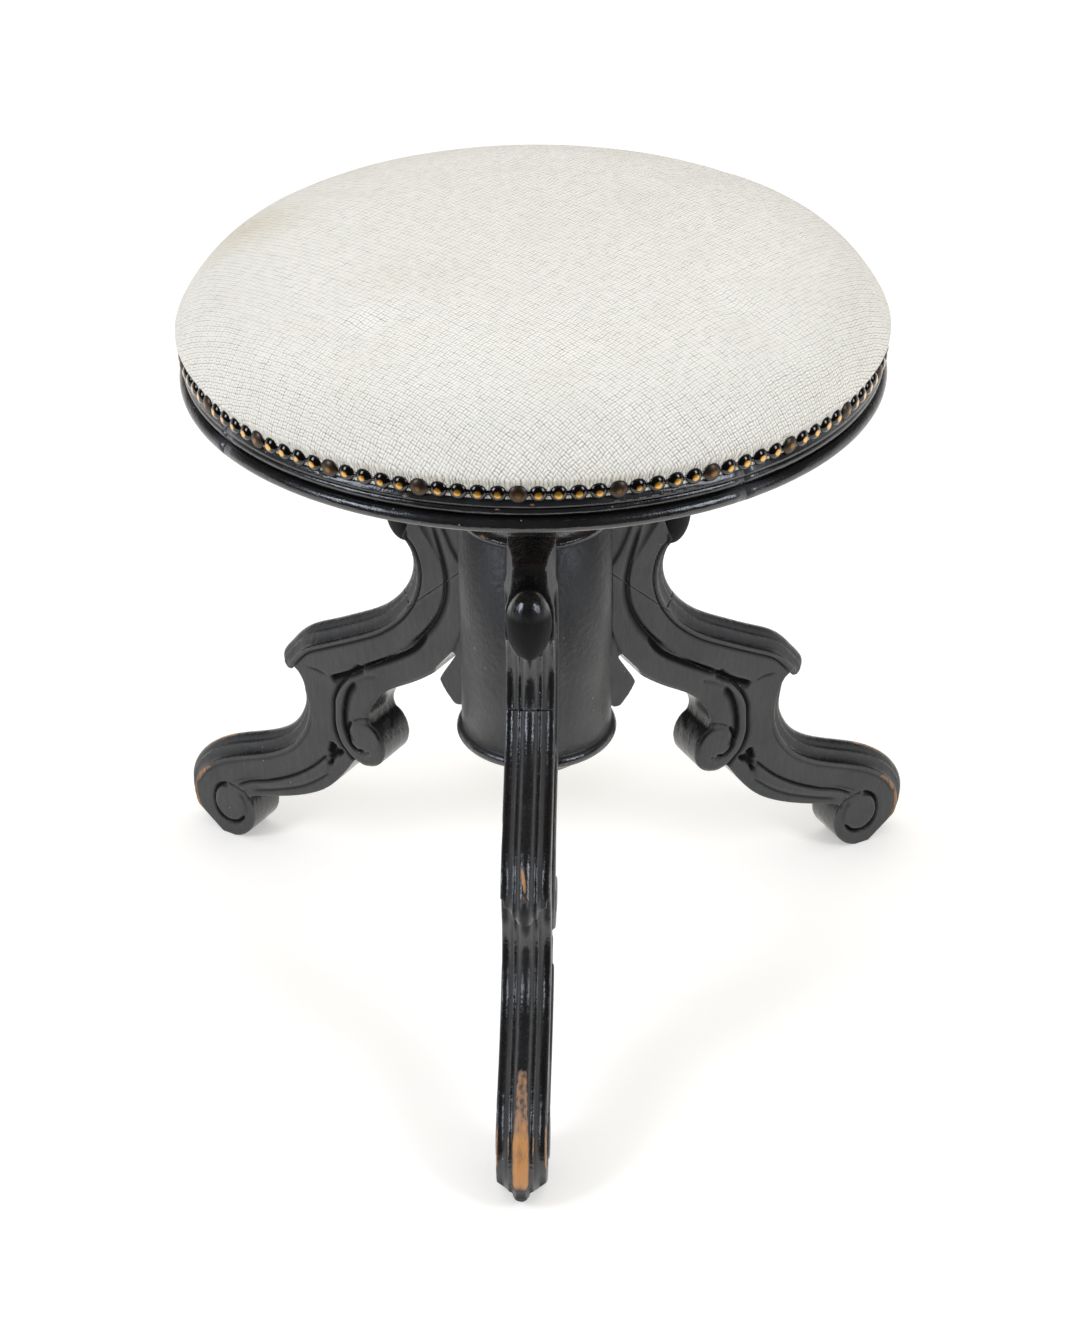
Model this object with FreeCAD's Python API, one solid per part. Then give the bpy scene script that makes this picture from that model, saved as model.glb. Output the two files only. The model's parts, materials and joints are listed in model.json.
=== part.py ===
"""Screw-adjusted piano stool: a round upholstered seat on a bored column with three carved legs.

Millimetres, +Z up, the front leg points to -Y. The pieces are drawn about the column's axis and then
moved back by axis_y, so that the origin lies on the floor under the middle of the whole stool.
The seat stands at the height of the photographed stool, part way up its thread.
"""

import FreeCAD, Part

import math
import os

V = FreeCAD.Vector
UP = V(0, 0, 1)

# Seat
seat_radius = 200.0
ring_bottom = 397.0
ring_height = 27.0
ring_width = 42.0
board_ledge = 7.5
ledge_width = 14.0
cushion_rise = 54.0
cushion_bulge = 1.6
cover_thickness = 1.2
sacking_thickness = 1.2
skirt_drop = 7.5

# Upholstery nails
head_places = 120
nail_every = 5
head_radius = 4.7
head_height = 2.5
nail_radius = 1.0
nail_length = 13.0

# Column
column_radius = 45.4
column_bead = 3.2
bead_height = 8.0
foot_disc_radius = 32.5
foot_disc_height = 13.0
bore_radius = 17.0

# Legs
leg_reach = 260.5
leg_top = 310.5
leg_thickness = 28.0
bead_radius = 4.7
bead_rise = 10.6
ridge_rise = 6.4
moulding_steps = 22
carving_relief = 1.5
dowel_radius = 5.0
dowel_length = 34.0

# Screw and nut
spindle_radius = 13.0
thread_pitch = 8.0
thread_depth = 2.4
thread_clearance = 0.3
spindle_length = 176.0
journal_radius = 7.0
journal_length = 18.0
washer_thickness = 4.0
end_nut_height = 7.0
spigot_height = 6.0
nut_height = 30.0
nut_flange_radius = 31.0
nut_flange = 4.0

# Iron plate under the seat
plate_radius = 75.0
plate_thickness = 5.0
hub_radius = 20.0
hub_height = 22.0
plate_screw_count = 6

# Fits
fit = 0.05
gap = 0.3

# Sizes that follow from the driving dimensions
leg_flat = math.sqrt(column_radius ** 2 - (leg_thickness / 2 + 0.4) ** 2)
reach_scale = (leg_reach - leg_flat) / 217.5
height_scale = leg_top / 310.5
column_top = leg_top - 5.0
column_foot = 160.5 * height_scale - bead_height - 0.4
ring_top = ring_bottom + ring_height
ring_inner = seat_radius - ring_width
wall_radius = seat_radius - 4.0
board_radius = ring_inner + ledge_width
board_bottom = ring_bottom + board_ledge
plate_bottom = board_bottom - plate_thickness
hub_bottom = plate_bottom - hub_height
root_radius = spindle_radius - thread_depth
spindle_top = board_bottom - 0.5
spindle_end = spindle_top - spindle_length
nail_z = ring_top - 4.2
sacking_top = ring_top + sacking_thickness
leg_angles = {"front": -90, "right": 30, "left": 150}
toe_reach = leg_flat + 228.6 * reach_scale
axis_y = round((toe_reach - seat_radius - cushion_bulge) / 2, 1)


def at(r, z, across=0.0):
    """A point of the leg's side drawing, r from the column's axis and z from the floor."""
    return V(leg_flat + (r - 43.0) * reach_scale, across, z * height_scale)


def curve(points):
    """A smooth edge through the points."""
    spline = Part.BSplineCurve()
    spline.interpolate(points)
    return spline.toShape()


def lines(points):
    """Straight edges through the points."""
    return [Part.makeLine(a, b) for a, b in zip(points, points[1:])]


def board(edges, thickness):
    """A board cut to a closed outline in the XZ plane, centred on the plane y = 0."""
    face = Part.Face(Part.Wire(Part.__sortEdges__(edges)))
    face.translate(V(0, -thickness / 2, 0))
    return face.extrude(V(0, thickness, 0))


def turned(points):
    """A turned solid from a closed (radius, height) outline."""
    wire = Part.makePolygon([V(r, 0, z) for r, z in points + points[:1]])
    return Part.Face(wire).revolve(V(0, 0, 0), UP, 360)


def turned_edges(edges):
    """A turned solid from a closed outline of edges in the XZ plane."""
    face = Part.Face(Part.Wire(Part.__sortEdges__(edges)))
    return face.revolve(V(0, 0, 0), UP, 360)


def rod(radius, base, direction, length):
    """A round rod from a base point."""
    return Part.makeCylinder(radius, length, base, direction)


def on_circle(radius, angle, z):
    """The point at an angle in degrees on a level circle round the axis."""
    turn = math.radians(angle)
    return V(radius * math.cos(turn), radius * math.sin(turn), z)


def spun(shape, angle):
    """A copy turned about the column's axis."""
    copy = shape.copy()
    copy.rotate(V(0, 0, 0), UP, angle)
    return copy


def countersunk_screw(head, shank, length, head_depth):
    """A slotted countersunk wood screw, head up at the origin, point down."""
    body = turned([(0, 0), (head, 0), (shank, -head_depth), (shank * 0.8, 4 - length), (0, -length)])
    slot = Part.makeBox(2 * head, 0.9, 0.9, V(-head, -0.45, -0.9))
    return body.cut(slot)


# Leg, drawn once pointing to +X


def leg_outline():
    """The side outline of the carved board, without the moulding on its outer edge."""
    glue_foot = at(43.0, 166.0)
    glue_top = at(43.0, 310.5)
    head_edge = at(73.5, 309.6)
    nose = at(86.0, 268.0)
    knee = at(176.1, 150.2)
    notch = at(163.6, 130.5)
    toe = at(245.0, 0.0)
    heel = at(229.0, 0.0)
    foot_crevice = at(216.8, 34.7)
    scroll_foot = at(127.9, 94.2)
    scroll_crevice = at(113.7, 124.9)
    tail_corner = at(63.2, 180.5)
    tail_tip = at(50.5, 161.3)
    top = lines([glue_foot, glue_top, head_edge])
    head = curve([head_edge, at(76.4, 306.8), at(77.6, 301.0), at(78.4, 291.0), at(81.0, 279.0), nose])
    upper_edge = curve(upper_edge_points())
    hollow = curve([knee, at(170.0, 146.9), at(165.6, 139.6), notch])
    lower_edge = curve([notch, at(162.8, 118.9), at(166.8, 104.7), at(176.8, 89.8), at(194.7, 76.8),
                        at(215.8, 67.4), at(236.8, 57.4), at(252.6, 44.7), at(260.5, 30.5),
                        at(259.5, 16.8), at(253.2, 7.0), toe])
    sole = lines([toe, heel])
    heel_scroll = curve([heel, at(218.6, 6.0), at(213.0, 15.0), at(212.4, 26.0), foot_crevice])
    underside = curve([foot_crevice, at(208.4, 38.4), at(195.8, 42.6), at(181.1, 47.9), at(166.3, 54.7),
                       at(153.7, 62.6), at(143.2, 72.8), at(134.7, 84.0), scroll_foot])
    scroll = curve([scroll_foot, at(118.5, 92.3), at(108.8, 97.0), at(104.6, 106.5), at(106.0, 117.0),
                    scroll_crevice])
    inner_edge = curve([scroll_crevice, at(115.4, 130.8), at(112.4, 139.4), at(103.2, 151.9),
                        at(86.3, 163.3), at(72.0, 173.0), tail_corner])
    tail = curve([tail_corner, at(58.6, 171.0), tail_tip])
    tail_end = curve([tail_tip, at(46.0, 161.8), glue_foot])
    curves = [head, upper_edge, hollow, lower_edge, heel_scroll, underside, scroll, inner_edge]
    return top + curves + sole + [tail, tail_end]


def upper_edge_points():
    """The outer edge from the nose under the head to the knee."""
    return [at(86.0, 268.0), at(79.8, 260.6), at(76.0, 247.4), at(78.1, 232.2), at(87.4, 214.7),
            at(105.3, 197.2), at(126.3, 184.7), at(147.4, 173.6), at(163.2, 164.7), at(176.1, 150.2)]


def moulding_section(start, outward, foot):
    """The reeded section across the edge: cove, ridge, groove and a round bead in the middle."""
    edge = leg_thickness / 2 - 1.8

    def place(across, rise):
        return start + outward * rise + V(0, across, 0)

    half = []
    for side in (1, -1):
        lip = place(side * edge, foot + 2.5)
        hollow = place(side * (edge * 0.72), 1.5)
        crest = place(side * (edge * 0.60), ridge_rise)
        ridge = place(side * (bead_radius + 1.4), ridge_rise)
        quirk = place(side * bead_radius, bead_rise - bead_radius)
        cove = Part.Arc(lip, hollow, crest).toShape()
        half += [Part.makeLine(place(side * edge, foot), lip), cove, Part.makeLine(crest, ridge)]
        half.append(Part.makeLine(ridge, quirk))
    quirks = [place(side * bead_radius, bead_rise - bead_radius) for side in (1, -1)]
    bead = Part.Arc(quirks[0], place(0, bead_rise), quirks[1]).toShape()
    back = Part.makeLine(place(edge, foot), place(-edge, foot))
    return Part.Wire(Part.__sortEdges__(half + [bead, back]))


def outward_of(tangent):
    """The direction out of the leg's front edge, for an edge drawn from the head to the foot."""
    return V(-tangent.z, 0, tangent.x)


def moulding(path_points):
    """The reeded moulding along an outer edge, lofted through sections at equal steps."""
    path = curve(path_points)
    sections = []
    for step in range(moulding_steps):
        place = path.getParameterByLength(path.Length * step / (moulding_steps - 1))
        outward = outward_of(path.tangentAt(place))
        sections.append(moulding_section(path.valueAt(place), outward, -3.0))
    return Part.makeLoft(sections, True, False)


def rounded_end(path_points, turn):
    """The moulding's end, carved round the knee by a turn in degrees."""
    path = curve(path_points)
    end = path.valueAt(path.LastParameter)
    outward = outward_of(path.tangentAt(path.LastParameter))
    wire = moulding_section(end, outward, -2.4)
    keep = Part.Face(wire).common(half_plane(end, outward))
    return keep.Faces[0].revolve(end, V(0, 1, 0), turn)


def half_plane(point, outward):
    """A large face across the leg that starts at a point and runs outwards."""
    corners = [point + V(0, -40, 0), point + V(0, 40, 0)]
    corners += [corners[1] + outward * 40, corners[0] + outward * 40]
    return Part.Face(Part.makePolygon(corners + corners[:1]))


def scroll_edge():
    """Points of the inner scroll's outer edge, from the waist down to the middle volute."""
    return [at(72.0, 306.0), at(67.5, 292.0), at(62.6, 278.0), at(57.4, 261.0), at(55.0, 247.0),
            at(57.2, 231.0), at(63.6, 216.6), at(80.0, 195.4), at(105.3, 174.0), at(128.0, 158.0)]


def scroll_relief():
    """The raised inner scroll, from the top beside the column down into the middle volute."""
    top_in = at(62.0, 306.0)
    glue_top = at(43.0, 262.0)
    glue_foot = at(43.0, 218.0)
    eye_under = at(122.0, 93.6)
    back = at(62.0, 183.0)
    outer = curve(scroll_edge() + [at(140.0, 140.0), at(141.6, 122.0), at(136.0, 102.5), eye_under])
    volute = curve([eye_under, at(110.0, 97.6), at(105.8, 107.0), at(108.0, 117.5), at(115.6, 124.6),
                    at(116.5, 131.2), at(113.4, 140.0), at(103.9, 152.9), at(86.9, 164.4),
                    at(73.0, 174.0), back])
    tail = curve([back, at(53.0, 194.0), at(46.5, 207.0), glue_foot])
    throat = curve([glue_top, at(48.6, 270.0), at(55.6, 285.0), top_in])
    relief = board([outer, volute, tail, Part.makeLine(glue_foot, glue_top), throat,
                    Part.makeLine(top_in, scroll_edge()[0])], leg_thickness + 2 * carving_relief)
    rims = [e for e in relief.Edges if abs(e.BoundBox.YLength) < 0.01]
    return relief.makeChamfer(1.0, rims)


def foot_relief():
    """The raised strip of the lower board that runs into the foot volute."""
    strip = [curve([at(150.0, 88.0), at(158.5, 80.0), at(168.6, 71.6), at(189.7, 59.0), at(210.5, 51.6),
                    at(226.0, 44.6), at(234.0, 36.0)]),
             Part.makeLine(at(234.0, 36.0), at(224.0, 31.0)),
             curve([at(224.0, 31.0), at(217.0, 41.6), at(200.0, 48.8), at(178.9, 57.2), at(160.6, 67.8),
                    at(149.0, 80.5), at(150.0, 88.0)])]
    relief = board(strip, leg_thickness + 2.4)
    rims = [e for e in relief.Edges if abs(e.BoundBox.YLength) < 0.01]
    return relief.makeChamfer(0.8, rims)


def eye(center, radius, stand):
    """The flat round eye of a volute, standing out on both sides."""
    width = leg_thickness + 2 * stand
    disc = Part.makeCylinder(radius, width, center - V(0, width / 2, 0), V(0, 1, 0))
    return disc.makeChamfer(0.7, disc.Edges[0:1] + disc.Edges[2:3])


def groove(points, depth):
    """A round-bottomed groove along the same line on both sides of the leg."""
    cuts = []
    for side in (1, -1):
        path = curve([p + V(0, side * depth, 0) for p in points])
        start = path.valueAt(path.FirstParameter)
        circle = Part.Wire([Part.Circle(start, path.tangentAt(path.FirstParameter), 1.1).toShape()])
        cuts.append(Part.Wire([path]).makePipeShell([circle], True, False))
    return cuts


def chip(corners, depth):
    """A three-sided chip cut, sunk to a point, on both sides."""
    cuts = []
    for side in (1, -1):
        face_y = side * (leg_thickness / 2 + 1.0)
        rim = [V(p.x, face_y, p.z) for p in corners]
        bottom = V(sum(p.x for p in corners) / 3, side * (leg_thickness / 2 - depth),
                   sum(p.z for p in corners) / 3)
        faces = [Part.Face(Part.makePolygon(rim + rim[:1]))]
        for a, b in zip(rim, rim[1:] + rim[:1]):
            faces.append(Part.Face(Part.makePolygon([a, b, bottom, a])))
        cuts.append(Part.makeSolid(Part.makeShell(faces)))
    return cuts


def egg():
    """The egg that ends the head, its slender end cut flat, proud of the board's front edge."""
    middle = at(91.0, 281.0)
    wide = leg_thickness / 2 - 0.9
    blunt = 20.5 * height_scale
    slender = 23.0 * height_scale
    turn = math.radians(22)
    foot = V(wide * math.sin(turn), 0, -slender * math.cos(turn))
    crown = Part.Ellipse(V(0, 0, blunt), V(wide, 0, 0), V(0, 0, 0))
    tip = Part.Ellipse(V(0, 0, -slender), V(wide, 0, 0), V(0, 0, 0))
    edges = [Part.Arc(crown, 0, math.pi / 2).toShape(), Part.Arc(tip, turn, math.pi / 2).toShape()]
    edges += lines([foot, V(0, 0, foot.z), V(0, 0, blunt)])
    solid = turned_edges(edges)
    solid.translate(middle)
    return solid


def waist():
    """The wide scoops that draw the head in to a waist behind the egg, one on each side."""
    scoop = 105.0
    neck = 9.8
    return [Part.makeSphere(scoop, at(81.0, 312.0, side * (neck + scoop))) for side in (1, -1)]


def gouges():
    """The gouge strokes beside the inner scroll, deepening from a point up to the waist."""
    face = leg_thickness / 2
    cuts = []
    for side in (1, -1):
        point = at(57.6, 258.0, side * face)
        stroke = at(78.0, 300.0, side * (face + 12.0)) - point
        cuts.append(Part.makeCone(0.0, 15.6, stroke.Length, point, stroke))
    return cuts


def toe_trim():
    """What is cut away outside the rounded toe and under the floor."""
    toe = curve([at(290.0, 44.0), at(274.2, 37.0), at(271.6, 22.0), at(267.2, 10.6), at(262.0, 4.0),
                 at(256.0, 0.0)])
    rest = lines([at(256.0, 0.0), at(230.0, 0.0), at(230.0, -20.0), at(290.0, -20.0), at(290.0, 44.0)])
    return board([toe] + rest, leg_thickness + 12)


def toe_corners():
    """What is cut away in front of the pointed toe, which follows one slanting outline."""
    root = at(248.4, 0.0)
    point = Part.Ellipse(at(257.2, 0.0), at(248.4, 0.0, 4.8), root)
    ridges = [at(247.5, 0.0, side * 6.9) for side in (1, -1)]
    quirks = [at(248.4, 0.0, side * 4.8) for side in (1, -1)]
    flanks = [at(236.5, 0.0, side * 16.5) for side in (1, -1)]
    outside = [at(236.5, 0.0, -40.0), at(300.0, 0.0, -40.0), at(300.0, 0.0, 40.0), at(236.5, 0.0, 40.0)]
    edges = [Part.Arc(point, -math.pi / 2, math.pi / 2).toShape()] + lines([flanks[0], ridges[0], quirks[0]])
    edges += lines([quirks[1], ridges[1], flanks[1]] + outside + [flanks[0]])
    face = Part.Face(Part.Wire(Part.__sortEdges__(edges)))
    slant = V(29, 0, 23)
    face.translate(slant * -0.3)
    return face.extrude(slant * 2.3)


def carved_leg():
    """One whole leg with its mouldings, scrolls, egg and grooves."""
    leg = board(leg_outline(), leg_thickness).cut(gouges())
    lower_path = [at(170.0, 150.6), at(165.9, 141.0), at(163.7, 131.0), at(162.8, 118.9), at(166.8, 104.7),
                  at(176.8, 89.8), at(194.7, 76.8), at(215.8, 67.4), at(236.8, 57.4), at(252.6, 44.7),
                  at(260.5, 30.5), at(259.5, 16.8), at(253.2, 7.0)]
    upper_path = upper_edge_points() + [at(178.8, 146.7)]
    lower = moulding(lower_path).cut(toe_trim())
    middle_eye = at(118.9, 112.9)
    foot_eye = at(231.1, 25.8)
    leg = leg.fuse([moulding(upper_path), rounded_end(upper_path, 100), lower, scroll_relief(),
                    foot_relief(), eye(middle_eye, 11.6, carving_relief + 0.5), eye(foot_eye, 12.6, 1.2)])
    cuts = waist() + [toe_corners()]
    cuts += chip([at(122.0, 165.5), at(146.2, 150.8), at(140.6, 139.5)], 2.4)
    cuts += groove([p + V(0.35, 0, 0.35) for p in scroll_edge()[3:]], leg_thickness / 2 + 0.2)
    cuts += groove([at(108.0, 163.0), at(123.0, 154.6), at(131.4, 143.5), at(134.6, 126.0),
                    at(131.6, 110.5), at(124.0, 102.8), at(115.0, 104.5)],
                   leg_thickness / 2 + carving_relief + 0.2)
    slit = [at(66.0, 176.0), at(62.6, 184.0), at(51.0, 198.6), at(48.8, 196.4), at(58.4, 181.0),
            at(61.0, 176.0)]
    cuts.append(board(lines(slit + slit[:1]), leg_thickness + 8))
    leg = leg.cut(cuts)
    pearls = []
    for side in (1, -1):
        pearls.append(Part.makeSphere(3.4, at(145.6, 94.5, side * (leg_thickness / 2 - 2.4))))
    return leg.fuse([egg()] + pearls).removeSplitter()


def splice_frame():
    """Inner and outer end of the glue joint between a leg's head and limb, and its upward normal."""
    inner = at(43.0, 256.8)
    outer = at(84.0, 218.6)
    along = (outer - inner).normalize()
    return inner, outer, V(-along.z, 0, along.x)


def splice_dowels():
    """Two pegs across the glue joint of one leg."""
    inner, outer, normal = splice_frame()
    pegs = []
    for share in (0.30, 0.62):
        middle = inner + (outer - inner) * share
        pegs.append(rod(3.5, middle - normal * 10, normal, 20))
    return pegs


def leg_dowels():
    """Two pegs from one leg into the column."""
    start = leg_flat - dowel_length * 0.42
    return [rod(dowel_radius, V(start, 0, z * height_scale), V(1, 0, 0), dowel_length)
            for z in (286.0, 206.0)]


def leg_boards():
    """The head and the limb of one leg, split at the glue joint and bored for the pegs."""
    leg = carved_leg()
    inner, outer, _ = splice_frame()
    along = (outer - inner).normalize()
    square = at(130.0, 245.6) - outer
    start = inner - along * 40
    wall = [start, outer, outer + square, outer + square + V(0, 0, 90), start + V(0, 0, 60)]
    above = Part.Face(Part.makePolygon(wall + wall[:1]))
    above.translate(V(0, -40, 0))
    above = above.extrude(V(0, 80, 0))
    pegs = splice_dowels() + leg_dowels()
    head = leg.common(above).cut(pegs)
    limb = leg.cut(above).cut(pegs)
    return head, limb


# Column and what is let into it


def column():
    """The turned post with its bore, its beads and the flats that the legs are glued to."""
    foot = column_foot
    lip = column_radius + column_bead
    bead_middle = foot + bead_height / 2
    top = column_top
    edges = lines([V(bore_radius, 0, foot), V(column_radius - 1.0, 0, foot), V(lip - 2.0, 0, foot + 0.6)])
    edges.append(Part.Arc(V(lip - 2.0, 0, foot + 0.6), V(lip, 0, bead_middle),
                          V(lip - 2.0, 0, foot + bead_height - 0.6)).toShape())
    edges += lines([V(lip - 2.0, 0, foot + bead_height - 0.6), V(column_radius - 0.6, 0, foot + bead_height),
                    V(column_radius, 0, foot + bead_height + 1.2), V(column_radius, 0, top - 4.6),
                    V(column_radius - 0.8, 0, top - 4.2), V(column_radius - 0.4, 0, top - 3.6)])
    edges.append(Part.Arc(V(column_radius - 0.4, 0, top - 3.6), V(column_radius - 0.3, 0, top - 1.6),
                          V(column_radius - 1.8, 0, top)).toShape())
    edges += lines([V(column_radius - 1.8, 0, top), V(bore_radius, 0, top), V(bore_radius, 0, foot)])
    post = turned_edges(edges)
    seat = Part.makeCylinder(nut_body_radius(), nut_height, V(0, 0, top - nut_height))
    flange = Part.makeCylinder(nut_flange_radius, nut_flange, V(0, 0, top - nut_flange))
    cuts = [seat, flange]
    for angle in leg_angles.values():
        flat = Part.makeBox(30, 60, top - foot - bead_height + 20, V(leg_flat, -30, foot + bead_height + 0.3))
        cuts.append(spun(flat, angle))
        cuts += [spun(peg, angle) for peg in leg_dowels()]
    slot = Part.makeBox(4.0, rail_width(), rail_top() - foot, V(bore_radius - 1, -rail_width() / 2, foot))
    cuts.append(spun(slot, 90))
    return post.cut(cuts)


def nut_body_radius():
    """Outer radius of the nut's barrel."""
    return bore_radius + 3.5


def rail_width():
    """Width of the guide tongue."""
    return 5.0


def rail_top():
    """Upper end of the guide tongue, under the nut."""
    return column_top - nut_height


def guide_rail():
    """The tongue glued into the bore that keeps the stop washer from turning."""
    height = rail_top() - column_foot - spigot_height - 0.5
    tongue = Part.makeBox(5.4, rail_width(), height, V(bore_radius - 2.4, -rail_width() / 2,
                                                       column_foot + spigot_height + 0.5))
    return spun(tongue, 90)


def column_foot_disc():
    """The turned disc under the column, with the spigot that closes the bore."""
    top = column_foot
    low = top - foot_disc_height
    r = foot_disc_radius
    edges = lines([V(0, 0, low), V(r - 5.0, 0, low)])
    edges.append(Part.Arc(V(r - 5.0, 0, low), V(r - 1.2, 0, low + 1.6), V(r, 0, low + 5.0)).toShape())
    edges += lines([V(r, 0, low + 5.0), V(r, 0, top - 3.0), V(r + 1.5, 0, top - 2.0), V(r + 1.5, 0, top),
                    V(bore_radius - fit, 0, top), V(bore_radius - fit, 0, top + spigot_height),
                    V(0, 0, top + spigot_height), V(0, 0, low)])
    return turned_edges(edges)


# Thread


def thread(radius, depth, width, z, height):
    """A helical ridge with sloping flanks standing on a core of radius minus depth."""
    inner = radius - depth - 0.3
    helix = Part.makeHelix(thread_pitch, height, inner)
    helix.translate(V(0, 0, z))
    half = width / 2
    corners = [V(inner, 0, z - half * 1.25), V(inner, 0, z + half * 1.25), V(radius, 0, z + half * 0.85),
               V(radius, 0, z - half * 0.85)]
    section = Part.makePolygon(corners + corners[:1])
    return Part.Wire(helix).makePipeShell([section], True, True)


def spindle():
    """The steel screw: threaded shaft, plain top for the hub and turned journal below."""
    shoulder = spindle_end + journal_length
    thread_top = hub_bottom - 3.5
    core = Part.makeCylinder(root_radius, thread_top - shoulder + 1, V(0, 0, shoulder))
    ridge = thread(spindle_radius, thread_depth, thread_pitch / 2, shoulder - thread_pitch,
                   thread_top - shoulder + 2 * thread_pitch)
    keep = Part.makeCylinder(spindle_radius + 5, thread_top - shoulder, V(0, 0, shoulder))
    screw = ridge.common(keep).fuse(core)
    plain = turned([(0, thread_top), (root_radius, thread_top), (spindle_radius, thread_top + 2.5),
                    (spindle_radius, spindle_top), (0, spindle_top)])
    journal = turned([(0, shoulder), (journal_radius, shoulder), (journal_radius, spindle_end + 1),
                      (journal_radius - 1, spindle_end), (0, spindle_end)])
    hub_hole = rod(3.0, V(-30, 0, hub_bottom + 11), V(1, 0, 0), 60)
    pin_hole = rod(1.6, V(-20, 0, spindle_end + 4), V(1, 0, 0), 40)
    return screw.fuse([plain, journal]).cut([hub_hole, pin_hole])


def nut_plate():
    """The flanged brass nut, cut with the spindle's thread and a running clearance."""
    top = column_top
    low = top - nut_height
    body = turned([(0, low), (nut_body_radius(), low), (nut_body_radius(), top - nut_flange),
                   (nut_flange_radius, top - nut_flange), (nut_flange_radius, top), (0, top)])
    bore = Part.makeCylinder(root_radius + thread_clearance, nut_height + 4, V(0, 0, low - 2))
    start = spindle_end + journal_length
    while start > low - thread_pitch:
        start -= thread_pitch
    ridge = thread(spindle_radius + thread_clearance, thread_depth, thread_pitch / 2 + 2 * thread_clearance,
                   start, top - start + thread_pitch)
    ridge = ridge.common(Part.makeCylinder(spindle_radius + 5, nut_height + 2, V(0, 0, low - 1)))
    cuts = [bore, ridge]
    for angle in nut_screw_angles():
        place = on_circle(nut_flange_radius - 5, angle, top)
        cuts.append(Part.makeCone(4.2, 2.0, 3.0, place + V(0, 0, 0.01), V(0, 0, -1)))
        cuts.append(rod(2.0, place, V(0, 0, -1), nut_flange + 1))
    return body.cut(cuts)


def nut_screw_angles():
    """Screws of the nut's flange stand between the legs."""
    return (0, 60, 120, 180, 240, 300)


def nut_screws():
    """Countersunk screws of the nut's flange."""
    screws = []
    for angle in nut_screw_angles():
        screw = countersunk_screw(4.1, 1.9, 20, 3.0)
        screw.translate(on_circle(nut_flange_radius - 5, angle, column_top - 0.1))
        screws.append(screw)
    return screws


def stop_washer():
    """The washer on the journal, notched to run along the guide tongue."""
    top = spindle_end + journal_length - gap / 2
    outer = bore_radius - gap
    ring = Part.makeCylinder(outer, washer_thickness, V(0, 0, top - washer_thickness))
    hole = Part.makeCylinder(journal_radius + 0.08, washer_thickness + 2, V(0, 0, top - washer_thickness - 1))
    notch = Part.makeBox(6, rail_width() + 2 * gap, washer_thickness + 2,
                         V(bore_radius - 2.4 - gap, -rail_width() / 2 - gap, top - washer_thickness - 1))
    return ring.cut([hole, spun(notch, 90)])


def end_nut():
    """The hexagon nut that holds the stop washer on the journal."""
    top = spindle_end + journal_length - washer_thickness - gap
    height = end_nut_height
    across = 11.0
    corners = [on_circle(across / math.cos(math.radians(30)), a, top - height) for a in range(0, 361, 60)]
    hexagon = Part.Face(Part.makePolygon(corners)).extrude(V(0, 0, height))
    cone = Part.makeCone(across - 0.4, across + 7, 7.4, V(0, 0, top - height))
    cone = cone.fuse(Part.makeCylinder(across + 7, height, V(0, 0, top - height + 7.4)))
    hole = Part.makeCylinder(journal_radius + fit, height + 2, V(0, 0, top - height - 1))
    return hexagon.common(cone).cut(hole)


def split_pin():
    """The split pin through the spindle below the nut, its ends bent back."""
    z = spindle_end + 4
    shank = rod(1.5, V(-journal_radius - 1.2, 0, z), V(1, 0, 0), 2 * journal_radius + 3.2)
    eye_ring = Part.makeTorus(2.2, 0.9, V(-journal_radius - 3.4, 0, z), UP)
    tails = [rod(0.9, V(journal_radius + 2.0, 0, z), V(0.25, side, 0), 4.5) for side in (1, -1)]
    return shank.fuse([eye_ring] + tails)


# Seat


def seat_plate():
    """The cast iron flange with its hub and ribs."""
    edges = lines([V(0, 0, board_bottom), V(plate_radius, 0, board_bottom),
                   V(plate_radius, 0, plate_bottom + 2), V(plate_radius - 2, 0, plate_bottom),
                   V(hub_radius + 6, 0, plate_bottom)])
    edges.append(Part.Arc(V(hub_radius + 6, 0, plate_bottom), V(hub_radius + 1.8, 0, plate_bottom - 1.8),
                          V(hub_radius, 0, plate_bottom - 6)).toShape())
    edges += lines([V(hub_radius, 0, plate_bottom - 6), V(hub_radius, 0, hub_bottom + 1.5),
                    V(hub_radius - 1.5, 0, hub_bottom), V(0, 0, hub_bottom), V(0, 0, board_bottom)])
    plate = turned_edges(edges)
    ribs = []
    for step in range(plate_screw_count):
        corners = [V(hub_radius - 3, 0, plate_bottom + 1), V(plate_radius - 9, 0, plate_bottom + 1),
                   V(plate_radius - 9, 0, plate_bottom - 1.2), V(hub_radius - 3, 0, hub_bottom + 7)]
        rib = Part.Face(Part.makePolygon(corners + corners[:1])).extrude(V(0, 5, 0))
        rib.translate(V(0, -2.5, 0))
        ribs.append(spun(rib, step * 360 / plate_screw_count))
    plate = plate.fuse(ribs)
    holes = [Part.makeCylinder(spindle_radius + fit, 60, V(0, 0, hub_bottom - 10)),
             rod(3.0, V(-40, 0, hub_bottom + 11), V(1, 0, 0), 80)]
    for place in plate_screw_places():
        holes.append(rod(2.6, place + V(0, 0, -2), UP, plate_thickness + 4))
    return plate.cut(holes)


def plate_screw_places():
    """Screw places on the plate's underside, between the ribs."""
    step = 360 / plate_screw_count
    return [on_circle(plate_radius - 13, (i + 0.5) * step, plate_bottom) for i in range(plate_screw_count)]


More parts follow.
